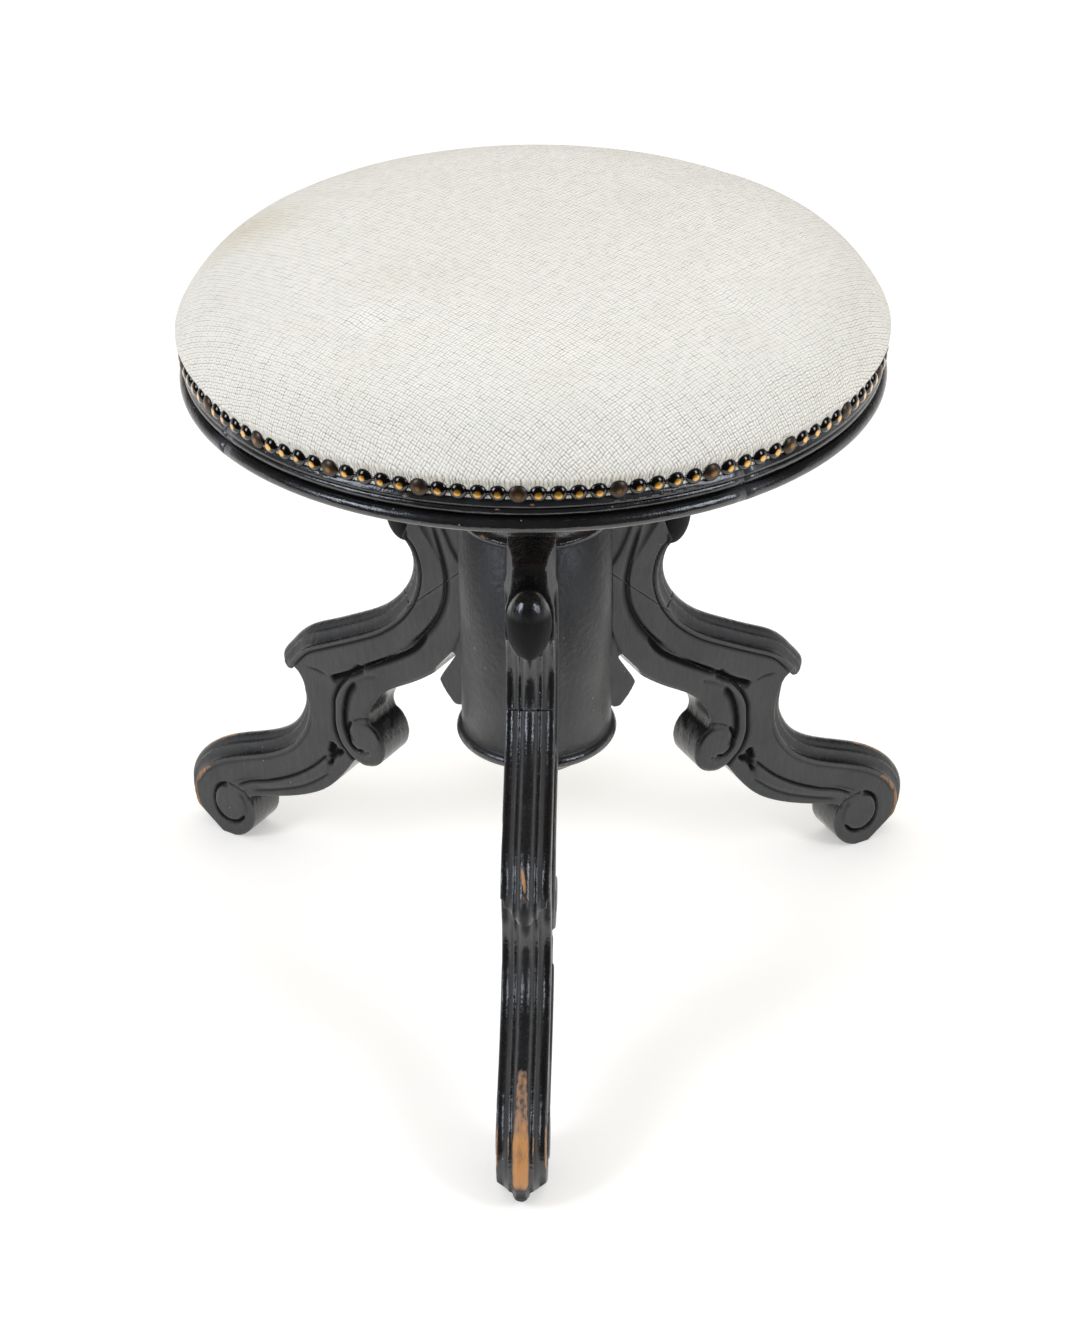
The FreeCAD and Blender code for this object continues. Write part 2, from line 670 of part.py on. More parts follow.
def plate_screws():
    """Round-head wood screws driven up through the plate."""
    screws = []
    for place in plate_screw_places():
        dome = [V(0, 0, -3.0), V(2.8, 0, -2.4), V(4.8, 0, 0)]
        edges = [Part.Arc(*dome).toShape()]
        edges += lines([dome[2], V(2.5, 0, 0), V(2.5, 0, 14), V(0, 0, 20), dome[0]])
        screw = turned_edges(edges)
        screw = screw.cut(Part.makeBox(12, 1.0, 1.4, V(-6, -0.5, -3.2)))
        screw.translate(place)
        screws.append(screw)
    return screws


def hub_pin():
    """The cross pin that locks the hub to the spindle."""
    return rod(3.0 - 0.02, V(-hub_radius + 0.5, 0, hub_bottom + 11), V(1, 0, 0), 2 * hub_radius - 1)


def seat_board():
    """The round pine board that the plate is screwed to."""
    return Part.makeCylinder(board_radius - gap, ring_top - board_bottom, V(0, 0, board_bottom))


def ring_section():
    """The ring's moulded section in the XZ plane."""
    r = seat_radius
    z = ring_bottom
    edges = lines([V(ring_inner, 0, z), V(r - 5.5, 0, z)])
    edges.append(Part.Arc(V(r - 5.5, 0, z), V(r, 0, z + 4.0), V(r - 4.0, 0, z + 8.0)).toShape())
    edges += lines([V(r - 4.0, 0, z + 8.0), V(r - 6.0, 0, z + 8.4), V(r - 6.0, 0, z + 9.4)])
    edges.append(Part.Arc(V(r - 6.0, 0, z + 9.4), V(r - 2.4, 0, z + 11.0), V(r - 3.2, 0, z + 13.6)).toShape())
    lip = V(r - 2.0, 0, z + 14.8)
    edges += lines([V(r - 3.2, 0, z + 13.6), V(r - 4.6, 0, z + 13.9), V(r - 4.6, 0, z + 14.5), lip])
    edges.append(Part.Arc(lip, V(r - 3.2, 0, z + 17.4), V(r - 4.0, 0, z + 18.6)).toShape())
    edges += lines([V(r - 4.0, 0, z + 18.6), V(wall_radius, 0, ring_top - 3), V(wall_radius - 3, 0, ring_top),
                    V(board_radius, 0, ring_top), V(board_radius, 0, board_bottom),
                    V(ring_inner, 0, board_bottom), V(ring_inner, 0, z)])
    return Part.Face(Part.Wire(Part.__sortEdges__(edges)))


def ring_segments():
    """Four glued segments of the moulded ring, with the grooves for the loose tongues."""
    start = -54.0
    pieces = []
    tongues = [spun(tongue(), start + quarter * 90) for quarter in range(4)]
    for quarter in range(4):
        section = ring_section()
        section.rotate(V(0, 0, 0), UP, start + quarter * 90)
        piece = section.revolve(V(0, 0, 0), UP, 90)
        pieces.append(piece.cut(tongues))
    return pieces


def tongue():
    """A loose tongue across one joint of the ring, lying level in the wood."""
    width = (seat_radius - 10) - (board_radius + 4)
    return Part.makeBox(width, 24, 4, V(board_radius + 4, -12, ring_bottom + 11))


def ring_screws():
    """Screws up through the ring's ledge into the board."""
    screws = []
    for step in range(8):
        screw = countersunk_screw(4.0, 1.9, 20, 3.0)
        screw.rotate(V(0, 0, 0), V(1, 0, 0), 180)
        screw.translate(on_circle(ring_inner + ledge_width / 2, 13 + step * 45, ring_bottom + 0.4))
        screws.append(screw)
    return screws


def sacking():
    """The hessian tacked over the board, with the tack heads let into it."""
    sheet = Part.makeCylinder(wall_radius - 5, sacking_thickness, V(0, 0, ring_top))
    return sheet.cut([rod(3.0, place, UP, sacking_thickness) for place in tack_places()])


def tack_places():
    """Tacks of the sacking, in the ring's wood."""
    return [on_circle(wall_radius - 11, 7.5 + 30 * i, ring_top) for i in range(12)]


def sacking_tacks():
    """Flat-headed tacks of the sacking."""
    tacks = []
    for place in tack_places():
        tack = turned([(0, sacking_thickness), (2.95, sacking_thickness), (2.95, 0.2), (0.9, 0), (0, -9)])
        tack.translate(place)
        tacks.append(tack)
    return tacks


def cushion_profile(inset):
    """The crown and drawn-in side of the cushion, moved inwards by an inset."""
    bulge = seat_radius + cushion_bulge - inset
    base = ring_top + 6.0
    rise = cushion_rise - 6.0 - inset
    shape = ((0.980, 0.15), (0.948, 0.33), (0.900, 0.55), (0.800, 0.76), (0.700, 0.84), (0.490, 0.93))
    points = [V(0, 0, base + rise)]
    points += [V(bulge * share, 0, base + rise * up) for share, up in reversed(shape)]
    points.append(V(bulge, 0, base))
    crown = Part.BSplineCurve()
    crown.interpolate(Points=points, InitialTangent=V(1, 0, 0), FinalTangent=V(0, 0, -1))
    return crown.toShape(), V(bulge, 0, base), V(0, 0, base + rise)


def stuffing():
    """The horsehair pad between sacking and cover."""
    crown, side, top = cushion_profile(cover_thickness + gap)
    edge = wall_radius - gap
    edges = [crown, Part.makeLine(V(0, 0, sacking_top), top)]
    edges += lines([side, V(edge, 0, ring_top + 0.5), V(edge - 3, 0, sacking_top), V(0, 0, sacking_top)])
    return turned_edges(edges)


def cushion_cover():
    """The hopsack cover, drawn over the pad and down the ring's wall to the nails."""
    outer, side, top = cushion_profile(0.0)
    inner, inner_side, inner_top = cushion_profile(cover_thickness)
    hem = ring_top - skirt_drop
    wall = wall_radius + 0.05
    edges = [outer, inner, Part.makeLine(top, inner_top)]
    edges += lines([side, V(wall + cover_thickness, 0, ring_top + 0.5), V(wall + cover_thickness, 0, hem),
                    V(wall, 0, hem), V(wall, 0, ring_top + 0.5), inner_side])
    return turned_edges(edges)


def dome(radius, height):
    """A domed head, a cap of a sphere, with its flat back on the plane x = 0, pointing to +X."""
    ball = (radius ** 2 + height ** 2) / (2 * height)
    sphere = Part.makeSphere(ball, V(height - ball, 0, 0), V(1, 0, 0))
    return sphere.common(Part.makeBox(height + 1, 4 * radius, 4 * radius, V(0, -2 * radius, -2 * radius)))


def nail_strip():
    """The pressed strip: a thin band with a dome at every place that has no nail."""
    back = wall_radius + cover_thickness + 0.2
    band = Part.makeCylinder(back + 0.6, 2.6, V(0, 0, nail_z - 1.3))
    band = band.cut(Part.makeCylinder(back, 4, V(0, 0, nail_z - 2)))
    heads = []
    for place in range(head_places):
        if place % nail_every:
            head = dome(head_radius, head_height)
            head.translate(V(back + 0.3, 0, nail_z))
            heads.append(spun(head, place * 360 / head_places))
    return band.fuse(heads)


def trim_nails():
    """The real nails, one in every fifth place."""
    back = wall_radius + cover_thickness + 0.9
    nails = []
    for place in range(0, head_places, nail_every):
        head = dome(head_radius + 0.4, head_height - 0.2)
        head.translate(V(back, 0, nail_z))
        shank = Part.makeCone(nail_radius, 0.4, nail_length, V(back, 0, nail_z), V(-1, 0, 0))
        nails.append(spun(head.fuse(shank), place * 360 / head_places))
    return nails


def write(node, shapes):
    """Write one node, given a solid or a list of solids, to its own file in the part's frame."""
    solids = shapes if isinstance(shapes, list) else [shapes]
    flat = [solid for shape in solids for solid in shape.Solids]
    shape = flat[0] if len(flat) == 1 else Part.makeCompound(flat)
    shape.translate(V(0, axis_y, 0))
    if not shape.isValid():
        print("not valid:", node)
    shape.exportStep("parts/" + node + ".step")


os.makedirs("parts", exist_ok=True)

write("column", column())
write("column_foot_disc", column_foot_disc())
leg_head, leg_limb = leg_boards()
for side, angle in leg_angles.items():
    write("leg_" + side + "_head", spun(leg_head, angle))
    write("leg_" + side + "_limb", spun(leg_limb, angle))
write("leg_dowels", [spun(peg, a) for a in leg_angles.values() for peg in leg_dowels()])
write("splice_dowels", [spun(peg, a) for a in leg_angles.values() for peg in splice_dowels()])
write("nut_plate", nut_plate())
write("nut_screws", nut_screws())
write("guide_rail", guide_rail())

write("stop_washer", stop_washer())

write("spindle", spindle())
write("end_nut", end_nut())
write("split_pin", split_pin())
write("seat_plate", seat_plate())
write("hub_pin", hub_pin())
write("plate_screws", plate_screws())
write("seat_board", seat_board())
for number, segment in enumerate(ring_segments(), 1):
    write("ring_segment_" + str(number), segment)
write("ring_splines", [spun(tongue(), -54.0 + 90 * quarter) for quarter in range(4)])
write("ring_screws", ring_screws())
write("sacking", sacking())
write("sacking_tacks", sacking_tacks())
write("stuffing", stuffing())
write("cushion_cover", cushion_cover())
write("nail_strip", nail_strip())
write("trim_nails", trim_nails())
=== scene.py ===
"""The looks of a screw-adjusted piano stool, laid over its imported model.

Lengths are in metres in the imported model's frame: +Z up, the front leg towards -Y. Names that end in
_mm, and the drawings of the carving and the wear, are in millimetres.
"""

from __future__ import annotations

import json
import logging
import math
from dataclasses import dataclass, field
from enum import Enum
from typing import Callable, Iterable, Sequence

import bmesh
import bpy
import numpy as np
from mathutils import Matrix, Vector

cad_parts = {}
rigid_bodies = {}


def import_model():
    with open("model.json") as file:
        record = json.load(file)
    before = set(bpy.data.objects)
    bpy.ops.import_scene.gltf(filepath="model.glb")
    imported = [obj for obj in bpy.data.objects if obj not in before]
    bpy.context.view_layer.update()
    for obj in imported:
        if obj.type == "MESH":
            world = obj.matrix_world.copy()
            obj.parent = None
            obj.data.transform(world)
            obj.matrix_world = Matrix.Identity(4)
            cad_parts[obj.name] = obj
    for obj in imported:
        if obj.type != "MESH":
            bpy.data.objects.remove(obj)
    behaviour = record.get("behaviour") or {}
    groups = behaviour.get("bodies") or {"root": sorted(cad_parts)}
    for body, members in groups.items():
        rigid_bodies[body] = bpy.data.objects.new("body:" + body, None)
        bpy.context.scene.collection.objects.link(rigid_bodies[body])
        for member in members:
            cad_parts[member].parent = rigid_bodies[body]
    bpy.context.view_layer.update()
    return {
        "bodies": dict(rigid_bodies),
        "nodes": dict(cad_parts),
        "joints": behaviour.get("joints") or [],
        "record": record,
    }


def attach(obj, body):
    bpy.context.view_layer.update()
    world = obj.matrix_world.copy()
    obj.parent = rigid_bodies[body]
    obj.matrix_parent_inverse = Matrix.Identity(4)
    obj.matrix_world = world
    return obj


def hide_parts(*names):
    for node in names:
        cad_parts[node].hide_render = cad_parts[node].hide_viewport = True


LOG = logging.getLogger("piano_stool")
MM = 0.001
AXIS_Y = 35.0 * MM
Piece = bpy.types.Object
Tree = bpy.types.NodeTree
Socket = bpy.types.NodeSocket


class Body(Enum):
    """The rigid bodies that new pieces ride on."""

    STAND = "stand"
    SEAT = "seat"


class Leg(Enum):
    """The three legs and the compass angle, in degrees, that each one points to."""

    FRONT = -90.0
    RIGHT = 30.0
    LEFT = 150.0

    @property
    def label(self) -> str:
        """The leg's name in the model."""
        return self.name.lower()


# Node tools


def linear(code: str) -> tuple[float, float, float, float]:
    """Turns an sRGB hex colour into linear RGBA.

    Args:
        code: Six hex digits with a leading hash.

    Returns:
        The linear colour with full alpha.
    """
    parts = [int(code[i:i + 2], 16) / 255 for i in (1, 3, 5)]
    toned = [c / 12.92 if c <= 0.04045 else ((c + 0.055) / 1.055) ** 2.4 for c in parts]
    return (toned[0], toned[1], toned[2], 1.0)


def scale(size_mm: float) -> float:
    """The texture scale at which a pattern comes round every so many millimetres."""
    return 1000.0 / size_mm


def feed(node: bpy.types.Node, inputs: dict | Sequence) -> None:
    """Sets or links the inputs of a node.

    Args:
        node: The node.
        inputs: What goes into each socket, by its name or number or in order: a constant, or an
            output to link from.
    """
    for socket, value in inputs.items() if isinstance(inputs, dict) else enumerate(inputs):
        if isinstance(value, Socket):
            node.id_data.links.new(value, node.inputs[socket])
        else:
            node.inputs[socket].default_value = value


def put(tree: Tree, kind: str, inputs: dict | Sequence = (), **settings: object) -> bpy.types.NodeOutputs:
    """Adds one shader node.

    Args:
        tree: The node tree.
        kind: The node's type, without "ShaderNode".
        inputs: What goes into its sockets, as feed takes it.
        settings: Attributes of the node.

    Returns:
        The new node's outputs.
    """
    made = tree.nodes.new("ShaderNode" + kind)
    for name, value in settings.items():
        setattr(made, name, value)
    feed(made, inputs)
    return made.outputs


def ramp(tree: Tree, factor: Socket, stops: Sequence[tuple[float, str]]) -> Socket:
    """Adds a colour ramp.

    Args:
        tree: The node tree.
        factor: What drives the ramp.
        stops: Place and sRGB hex colour of each stop.

    Returns:
        The ramp's colour.
    """
    colour = put(tree, "ValToRGB", (factor,))["Color"]
    elements = colour.node.color_ramp.elements
    while len(elements) < len(stops):
        elements.new(0.5)
    for element, (place, code) in zip(elements, stops):
        element.position = place
        element.color = linear(code)
    return colour


# Mesh tools


def only(piece: Piece) -> None:
    """Makes a piece the only selected and the active object.

    Args:
        piece: The piece.
    """
    bpy.ops.object.select_all(action="DESELECT")
    piece.select_set(True)
    bpy.context.view_layer.objects.active = piece


def settle(piece: Piece) -> None:
    """Applies a piece's place, turn and size to its mesh."""
    only(piece)
    bpy.ops.object.transform_apply(location=True, rotation=True, scale=True)


def linked(name: str, data: bpy.types.ID) -> Piece:
    """Makes an object in the scene.

    Args:
        name: The object's name.
        data: Its mesh, light or camera.

    Returns:
        The object, at the origin.
    """
    made = bpy.data.objects.new(name, data)
    bpy.context.scene.collection.objects.link(made)
    return made


def finish_modifier(piece: Piece, kind: str, **settings: object) -> None:
    """Adds a modifier to a piece and applies it.

    Args:
        piece: The piece.
        kind: The modifier's type.
        settings: Attributes of the modifier.
    """
    only(piece)
    made = piece.modifiers.new(kind.lower(), kind)
    for name, value in settings.items():
        setattr(made, name, value)
    bpy.ops.object.modifier_apply(modifier=made.name)


def merged_copy(node: Piece, name: str) -> Piece:
    """Copies a node of the model as a piece with its triangles joined.

    Args:
        node: The node's object.
        name: The new piece's name.

    Returns:
        The new piece, at the origin.
    """
    mesh = node.data.copy()
    mesh.name = name
    mesh.materials.clear()
    form = bmesh.new()
    form.from_mesh(mesh)
    bmesh.ops.remove_doubles(form, verts=form.verts, dist=2e-6)
    form.to_mesh(mesh)
    form.free()
    return linked(name, mesh)


def joined(pieces: Sequence[Piece], name: str) -> Piece:
    """Joins pieces into one and names it.

    Args:
        pieces: The pieces.
        name: The name of the whole.

    Returns:
        The joined piece.
    """
    only(pieces[0])
    for piece in pieces:
        piece.select_set(True)
    bpy.ops.object.join()
    pieces[0].name = name
    pieces[0].data.name = name
    return pieces[0]


def dress(piece: Piece, material: bpy.types.Material, body: str, nodes: Sequence[str],
          crease_degrees: float | None = None) -> None:
    """Shades a finished piece smooth, gives it its material and says what it is part of.

    Args:
        piece: The piece.
        material: Its material.
        body: The rigid body that it moves with.
        nodes: The nodes of the model that it stands for.
        crease_degrees: The angle past which faces meet in a crease, or None for no creases.
    """
    only(piece)
    if crease_degrees is None:
        bpy.ops.object.shade_smooth()
    else:
        bpy.ops.object.shade_smooth_by_angle(angle=math.radians(crease_degrees))
    piece.data.materials.append(material)
    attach(piece, body)
    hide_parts(*nodes)
    LOG.info("%s: %d faces", piece.name, len(piece.data.polygons))


def rows(mesh: bpy.types.Mesh, what: str) -> np.ndarray:
    """Reads the points or normals of a mesh.

    Args:
        mesh: The mesh.
        what: "co" for points or "normal" for normals.

    Returns:
        The values, one point to a row.
    """
    values = np.empty(len(mesh.vertices) * 3)
    mesh.vertices.foreach_get(what, values)
    return values.reshape(-1, 3)


def note(mesh: bpy.types.Mesh, name: str, values: np.ndarray) -> None:
    """Writes one value to each point of a mesh."""
    layer = mesh.attributes.new(name, "FLOAT", "POINT")
    layer.data.foreach_set("value", values.astype(np.float32))


def band(values: np.ndarray, low: float, high: float) -> np.ndarray:
    """A soft mask, 1 between two limits and 0 outside them."""
    soft = min(0.35 * (high - low), 6.0)
    return np.clip(np.minimum(values - low, high - values) / soft, 0.0, 1.0)


def standing_proud(mesh: bpy.types.Mesh) -> np.ndarray:
    """How far each point of a mesh stands out from its neighbours.

    Args:
        mesh: The mesh.

    Returns:
        The slope down to the neighbours, above 0 on edges and below 0 in hollows.
    """
    points, normals = rows(mesh, "co"), rows(mesh, "normal")
    ends = np.empty(len(mesh.edges) * 2, dtype=np.int64)
    mesh.edges.foreach_get("vertices", ends)
    a, b = ends.reshape(-1, 2).T
    step = points[b] - points[a]
    length = np.maximum(np.linalg.norm(step, axis=1), 1e-7)
    proud, count = np.zeros(len(points)), np.zeros(len(points))
    for here, away in ((a, -step), (b, step)):
        np.add.at(proud, here, (away * normals[here]).sum(1) / length)
        np.add.at(count, here, 1)
    proud /= np.maximum(count, 1)
    for _ in range(3):
        spread = proud.copy()
        np.add.at(spread, a, proud[b])
        np.add.at(spread, b, proud[a])
        proud = spread / (count + 1)
    return proud


def wear(piece: Piece, rule: Callable[[np.ndarray, np.ndarray], np.ndarray]) -> None:
    """Notes how far each point of a piece is worn as "wear", and its edges as "arris".

    Args:
        piece: The piece, with its mesh in place.
        rule: Gives the wear from 0 to 1, from the points and how far each stands proud.
    """
    mesh = piece.data
    proud = standing_proud(mesh)
    # The arris value lightens the black paint's colour on edges: rubbed paint and a painted highlight.
    note(mesh, "arris", np.clip((proud - 0.03) / 0.14, 0.0, 1.0))
    note(mesh, "wear", np.clip(rule(rows(mesh, "co"), proud), 0.0, 1.0))


# Finishes


@dataclass(frozen=True)
class Finish:
    """One surface finish, made into a material."""

    name: str = "finish"

    def build(self) -> bpy.types.Material:
        """Makes the material.

        Returns:
            The material.
        """
        material = bpy.data.materials.new(self.name)
        material.use_nodes = True
        tree = material.node_tree
        place = put(tree, "TexCoord")["Object"]
        feed(tree.nodes["Principled BSDF"], self.surface(tree, place))
        return material

    def surface(self, tree: Tree, place: Socket) -> dict[str, object]:
        """Works out what goes into the surface shader.

        Args:
            tree: The node tree.
            place: Where the point is, in metres.

        Returns:
            A constant or an output for each of the shader's sockets that the finish sets.
        """
        raise NotImplementedError


@dataclass(frozen=True)
class EbonisedWood(Finish):
    """Hardwood stained and painted black, rubbed to a gloss and handled for a century.

    The eye sees a dull satin black on flat faces, a streaky and uneven shine on the mouldings that hands
    and cloths reach, arrises lighter grey as rubbed paint and a painted highlight, a blacker matt paint in
    the carved hollows and creases, under the knee, at the sole's edge and on the egg's lower half as dirt
    and painted shade, pale specks of dust, faint pores under the paint, and bare orange-brown wood where
    feet and hands have worn the high edges through. It reads each point's "wear", "arris" and "polished"
    values, and the one that holds the dirt and painted shade.
    """

    name: str = "ebonised_hardwood"
    paint: str = "#0c0c0d"
    dusty: str = "#1b1a1a"
    film: str = "#2c2c2c"
    # The arrises' lighter grey: rubbed paint and a painted highlight.
    rubbed: str = "#565658"
    speck: str = "#8d8880"
    satin: float = 0.44
    polish: float = 0.24
    dust: float = 0.2
    turned: bool = False
    cloud_mm: float = 22.22
    brush_mm: float = 3.846
    grit_mm: float = 2.381
    pore_mm: float = 1.1
    speck_mm: float = 6.25
    grain_mm: float = 2.083
    smear_mm: float = 9.09
    spots: tuple[tuple[float, float, float, float], ...] = ()

    def surface(self, tree: Tree, place: Socket) -> dict[str, object]:
        """Lays film, lighter arrises as rubbed paint and a painted highlight, dust and bare wood over the
        black, and darkens and dulls the hollows as dirt and painted shade.

        Args:
            tree: The node tree.
            place: Where the point is.

        Returns:
            What goes into the surface shader.
        """
        cloud = put(tree, "TexNoise", {"Vector": place, "Scale": scale(self.cloud_mm), "Detail": 4.0})[0]
        grit = put(tree, "TexNoise", {"Vector": place, "Scale": scale(self.grit_mm), "Detail": 5.0,
                                      "Roughness": 0.7})[0]
        worn, arris, dirt_and_shade, polished = (put(tree, "Attribute", attribute_name=name)["Fac"]
                                       for name in ("wear", "arris", "dirt_and_shade", "polished"))
        amount = self.knocks(tree, place, worn)
        ragged = put(tree, "Math", (grit, 0.9, -0.45), operation="MULTIPLY_ADD")[0]
        broken = put(tree, "Math", (amount, ragged), operation="ADD")[0]
        bare = put(tree, "MapRange", {"Value": broken, "From Min": 0.42, "From Max": 0.56},
                   interpolation_type="SMOOTHSTEP")[0]
        # The plain black shows where polished, and in the hollows as dirt and painted shade; the rest takes
        # the film.
        matt = put(tree, "Math", (polished, dirt_and_shade), operation="MAXIMUM")[0]
        arris = put(tree, "Math", (arris, 0.6), operation="MULTIPLY")[0]
        black = put(tree, "Mix", {0: cloud, 6: linear(self.paint), 7: linear(self.dusty)},
                    data_type="RGBA")[2]
        speckled, wood = self.specks(tree, place), self.wood(tree, place, amount)
        colour = linear(self.film)
        # Over that go the arrises' lighter grey, as rubbed paint and a painted highlight, then dust specks
        # and bare wood.
        for share, over in ((matt, black), (arris, linear(self.rubbed)), (speckled, linear(self.speck)),
                            (bare, wood)):
            colour = put(tree, "Mix", {0: share, 6: colour, 7: over}, data_type="RGBA")[2]
        rough = put(tree, "Mix", {0: polished, 2: self.satin, 3: self.polish})[0]
        uneven = put(tree, "MapRange", (cloud, 0.3, 0.7, -0.16, 0.0))[0]
        uneven = put(tree, "Math", (grit, 0.2, uneven), operation="MULTIPLY_ADD")[0]
        rough = put(tree, "Math", (rough, uneven), operation="ADD")[0]
        for share, dull in ((bare, 0.50), (dirt_and_shade, 0.75)):
            rough = put(tree, "Mix", {0: share, 2: rough, 3: dull})[0]
        shine = put(tree, "MapRange", (polished, 0.0, 1.0, 0.5, 0.72))[0]
        shine = put(tree, "Mix", {0: dirt_and_shade, 2: shine, 3: 0.06})[0]
        return {"Base Color": colour, "Roughness": rough, "Specular IOR Level": shine,
                "Normal": self.relief(tree, place, bare)}

    def relief(self, tree: Tree, place: Socket, bare: Socket) -> Socket:
        """The brush's ripple, the pores under the paint and the step down to bare wood.

        Args:
            tree: The node tree.
            place: Where the point is.
            bare: How much bare wood shows, from 0 to 1.

        Returns:
            The bent normal.
        """
        ripple = put(tree, "TexNoise", {"Vector": self.brushed(tree, place), "Scale": scale(self.brush_mm),
                                        "Detail": 3.0})[0]
        drawn = put(tree, "Mapping", {"Vector": place, "Scale": (1.0, 1.0, 0.16)})[0]
        pores = put(tree, "TexNoise", {"Vector": drawn, "Scale": scale(self.pore_mm), "Detail": 2.0,
                                       "Roughness": 0.6})[0]
        low = put(tree, "Bump", {"Height": ripple, "Strength": 0.8, "Distance": 0.6 * MM})[0]
        fine = put(tree, "Bump", {"Height": pores, "Strength": 0.5, "Distance": 0.2 * MM, "Normal": low})[0]
        return put(tree, "Bump", {"Height": bare, "Strength": 0.5, "Distance": 0.12 * MM, "Normal": fine},
                   invert=True)[0]

    def brushed(self, tree: Tree, place: Socket) -> Socket:
        """Draws out coordinates along the brush: round the axis on turned pieces, upwards on the legs.

        Args:
            tree: The node tree.
            place: Where the point is.

        Returns:
            The drawn-out coordinates.
        """
        if not self.turned:
            return put(tree, "Mapping", {"Vector": place, "Scale": (1.0, 1.0, 0.34)})[0]
        x, y, z = put(tree, "SeparateXYZ", (place,))
        y = put(tree, "Math", (y, AXIS_Y), operation="SUBTRACT")[0]
        turn = put(tree, "Math", (y, x), operation="ARCTAN2")[0]
        along = put(tree, "Math", (turn, 0.05), operation="MULTIPLY")[0]
        level = put(tree, "CombineXYZ", (x, y))[0]
        out = put(tree, "VectorMath", (level,), operation="LENGTH")[1]
        return put(tree, "CombineXYZ", (along, out, z))[0]

    def specks(self, tree: Tree, place: Socket) -> Socket:
        """Scattered specks of pale dust and chipped paint.

        Args:
            tree: The node tree.
            place: Where the point is.

        Returns:
            How much of a speck shows, from 0 to 1.
        """
        cells = put(tree, "TexVoronoi", {"Vector": place, "Scale": scale(self.speck_mm)})
        near = put(tree, "MapRange", (cells["Distance"], 0.085, 0.05))[0]
        chosen = put(tree, "Math", (cells["Color"], 0.98 - self.dust), operation="GREATER_THAN")[0]
        return put(tree, "Math", (near, chosen), operation="MULTIPLY")[0]

    def knocks(self, tree: Tree, place: Socket, worn: Socket) -> Socket:
        """Adds the single knocked or rubbed spots to the general wear.

        Args:
            tree: The node tree.
            place: Where the point is.
            worn: The general wear.

        Returns:
            The wear with the spots, from 0 to 1.
        """
        squat = 2.4
        flat = put(tree, "Mapping", {"Vector": place, "Scale": (1.0, 1.0, squat)})[0]
        for x, y, z, size in self.spots:
            centre = (x * MM, y * MM, z * squat * MM)
            away = put(tree, "VectorMath", (flat, centre), operation="DISTANCE")[1]
            spot = put(tree, "MapRange", (away, size * MM, 0.2 * size * MM, 0.0, 0.72))[0]
            worn = put(tree, "Math", (worn, spot), operation="ADD", use_clamp=True)[0]
        return worn

    def wood(self, tree: Tree, place: Socket, amount: Socket) -> Socket:
        """The bare wood, brown where the stain still sits and orange where it is rubbed clean.

        Args:
            tree: The node tree.
            place: Where the point is.
            amount: The wear from 0 to 1.

        Returns:
            The wood's colour.
        """
        along = put(tree, "Mapping", {"Vector": place, "Scale": (1.0, 0.5, 0.14)})[0]
        grain = put(tree, "TexNoise", {"Vector": along, "Scale": scale(self.grain_mm), "Detail": 4.0,
                                       "Roughness": 0.65})[0]
        smear = put(tree, "TexNoise", {"Vector": place, "Scale": scale(self.smear_mm), "Detail": 3.0})[0]
        tone = -1.62
        for part, weight in ((grain, 1.5), (smear, 0.4), (amount, 1.75)):
            tone = put(tree, "Math", (part, weight, tone), operation="MULTIPLY_ADD")[0]
        return ramp(tree, tone, ((0.30, "#3a281c"), (0.52, "#85664b"), (0.72, "#a4764a"), (0.88, "#b97d40"),
                                 (1.0, "#c08548")))


@dataclass(frozen=True)
class BareWood(Finish):
    """Sawn and turned softwood without a finish: browned by age, matt, with close darker year lines."""

    name: str = "bare_pine"
    early: str = "#86663f"
    late: str = "#563a20"
    line_mm: float = 4.0

    def surface(self, tree: Tree, place: Socket) -> dict[str, object]:
        """Year lines in two browns, a little proud of each other.

        Args:
            tree: The node tree.
            place: Where the point is.

        Returns:
            What goes into the surface shader.
        """
        lines = put(tree, "TexWave", {"Vector": place, "Scale": scale(self.line_mm) / 20.0, "Distortion": 3.0,
                                      "Detail": 3.0, "Detail Scale": 1.5}, bands_direction="X")["Fac"]
        bump = put(tree, "Bump", {"Height": lines, "Strength": 0.15, "Distance": 0.2 * MM})[0]
        return {"Base Color": ramp(tree, lines, ((0.2, self.early), (0.85, self.late))), "Roughness": 0.62,
                "Normal": bump}


@dataclass(frozen=True)
class Metal(Finish):
    """A turned or cast metal: fine tool marks round the axis, and patches where the oil has dried."""

    name: str = "mild_steel"
    colour: str = "#8d8a86"
    stain: str = "#4c453f"
    polish: float = 0.34
    patch_mm: float = 16.67
    mark_mm: float = 0.35

    def surface(self, tree: Tree, place: Socket) -> dict[str, object]:
        """Patches of stain and duller metal, and the tool's marks.

        Args:
            tree: The node tree.
            place: Where the point is.

        Returns:
            What goes into the surface shader.
        """
        patch = put(tree, "TexNoise", {"Vector": place, "Scale": scale(self.patch_mm), "Detail": 5.0})[0]
        mask = put(tree, "MapRange", (patch, 0.42, 0.68))[0]
        colour = put(tree, "Mix", {0: mask, 6: linear(self.colour), 7: linear(self.stain)},
                     data_type="RGBA")[2]
        rough = put(tree, "MapRange", (patch, 0.0, 1.0, self.polish - 0.08, self.polish + 0.22))[0]
        rings = put(tree, "Mapping", {"Vector": place, "Scale": (0.05, 0.05, 1.0)})[0]
        marks = put(tree, "TexNoise", {"Vector": rings, "Scale": scale(self.mark_mm)})[0]
        bump = put(tree, "Bump", {"Height": marks, "Strength": 0.2, "Distance": 0.05 * MM})[0]
        return {"Base Color": colour, "Metallic": 1.0, "Roughness": rough, "Normal": bump}


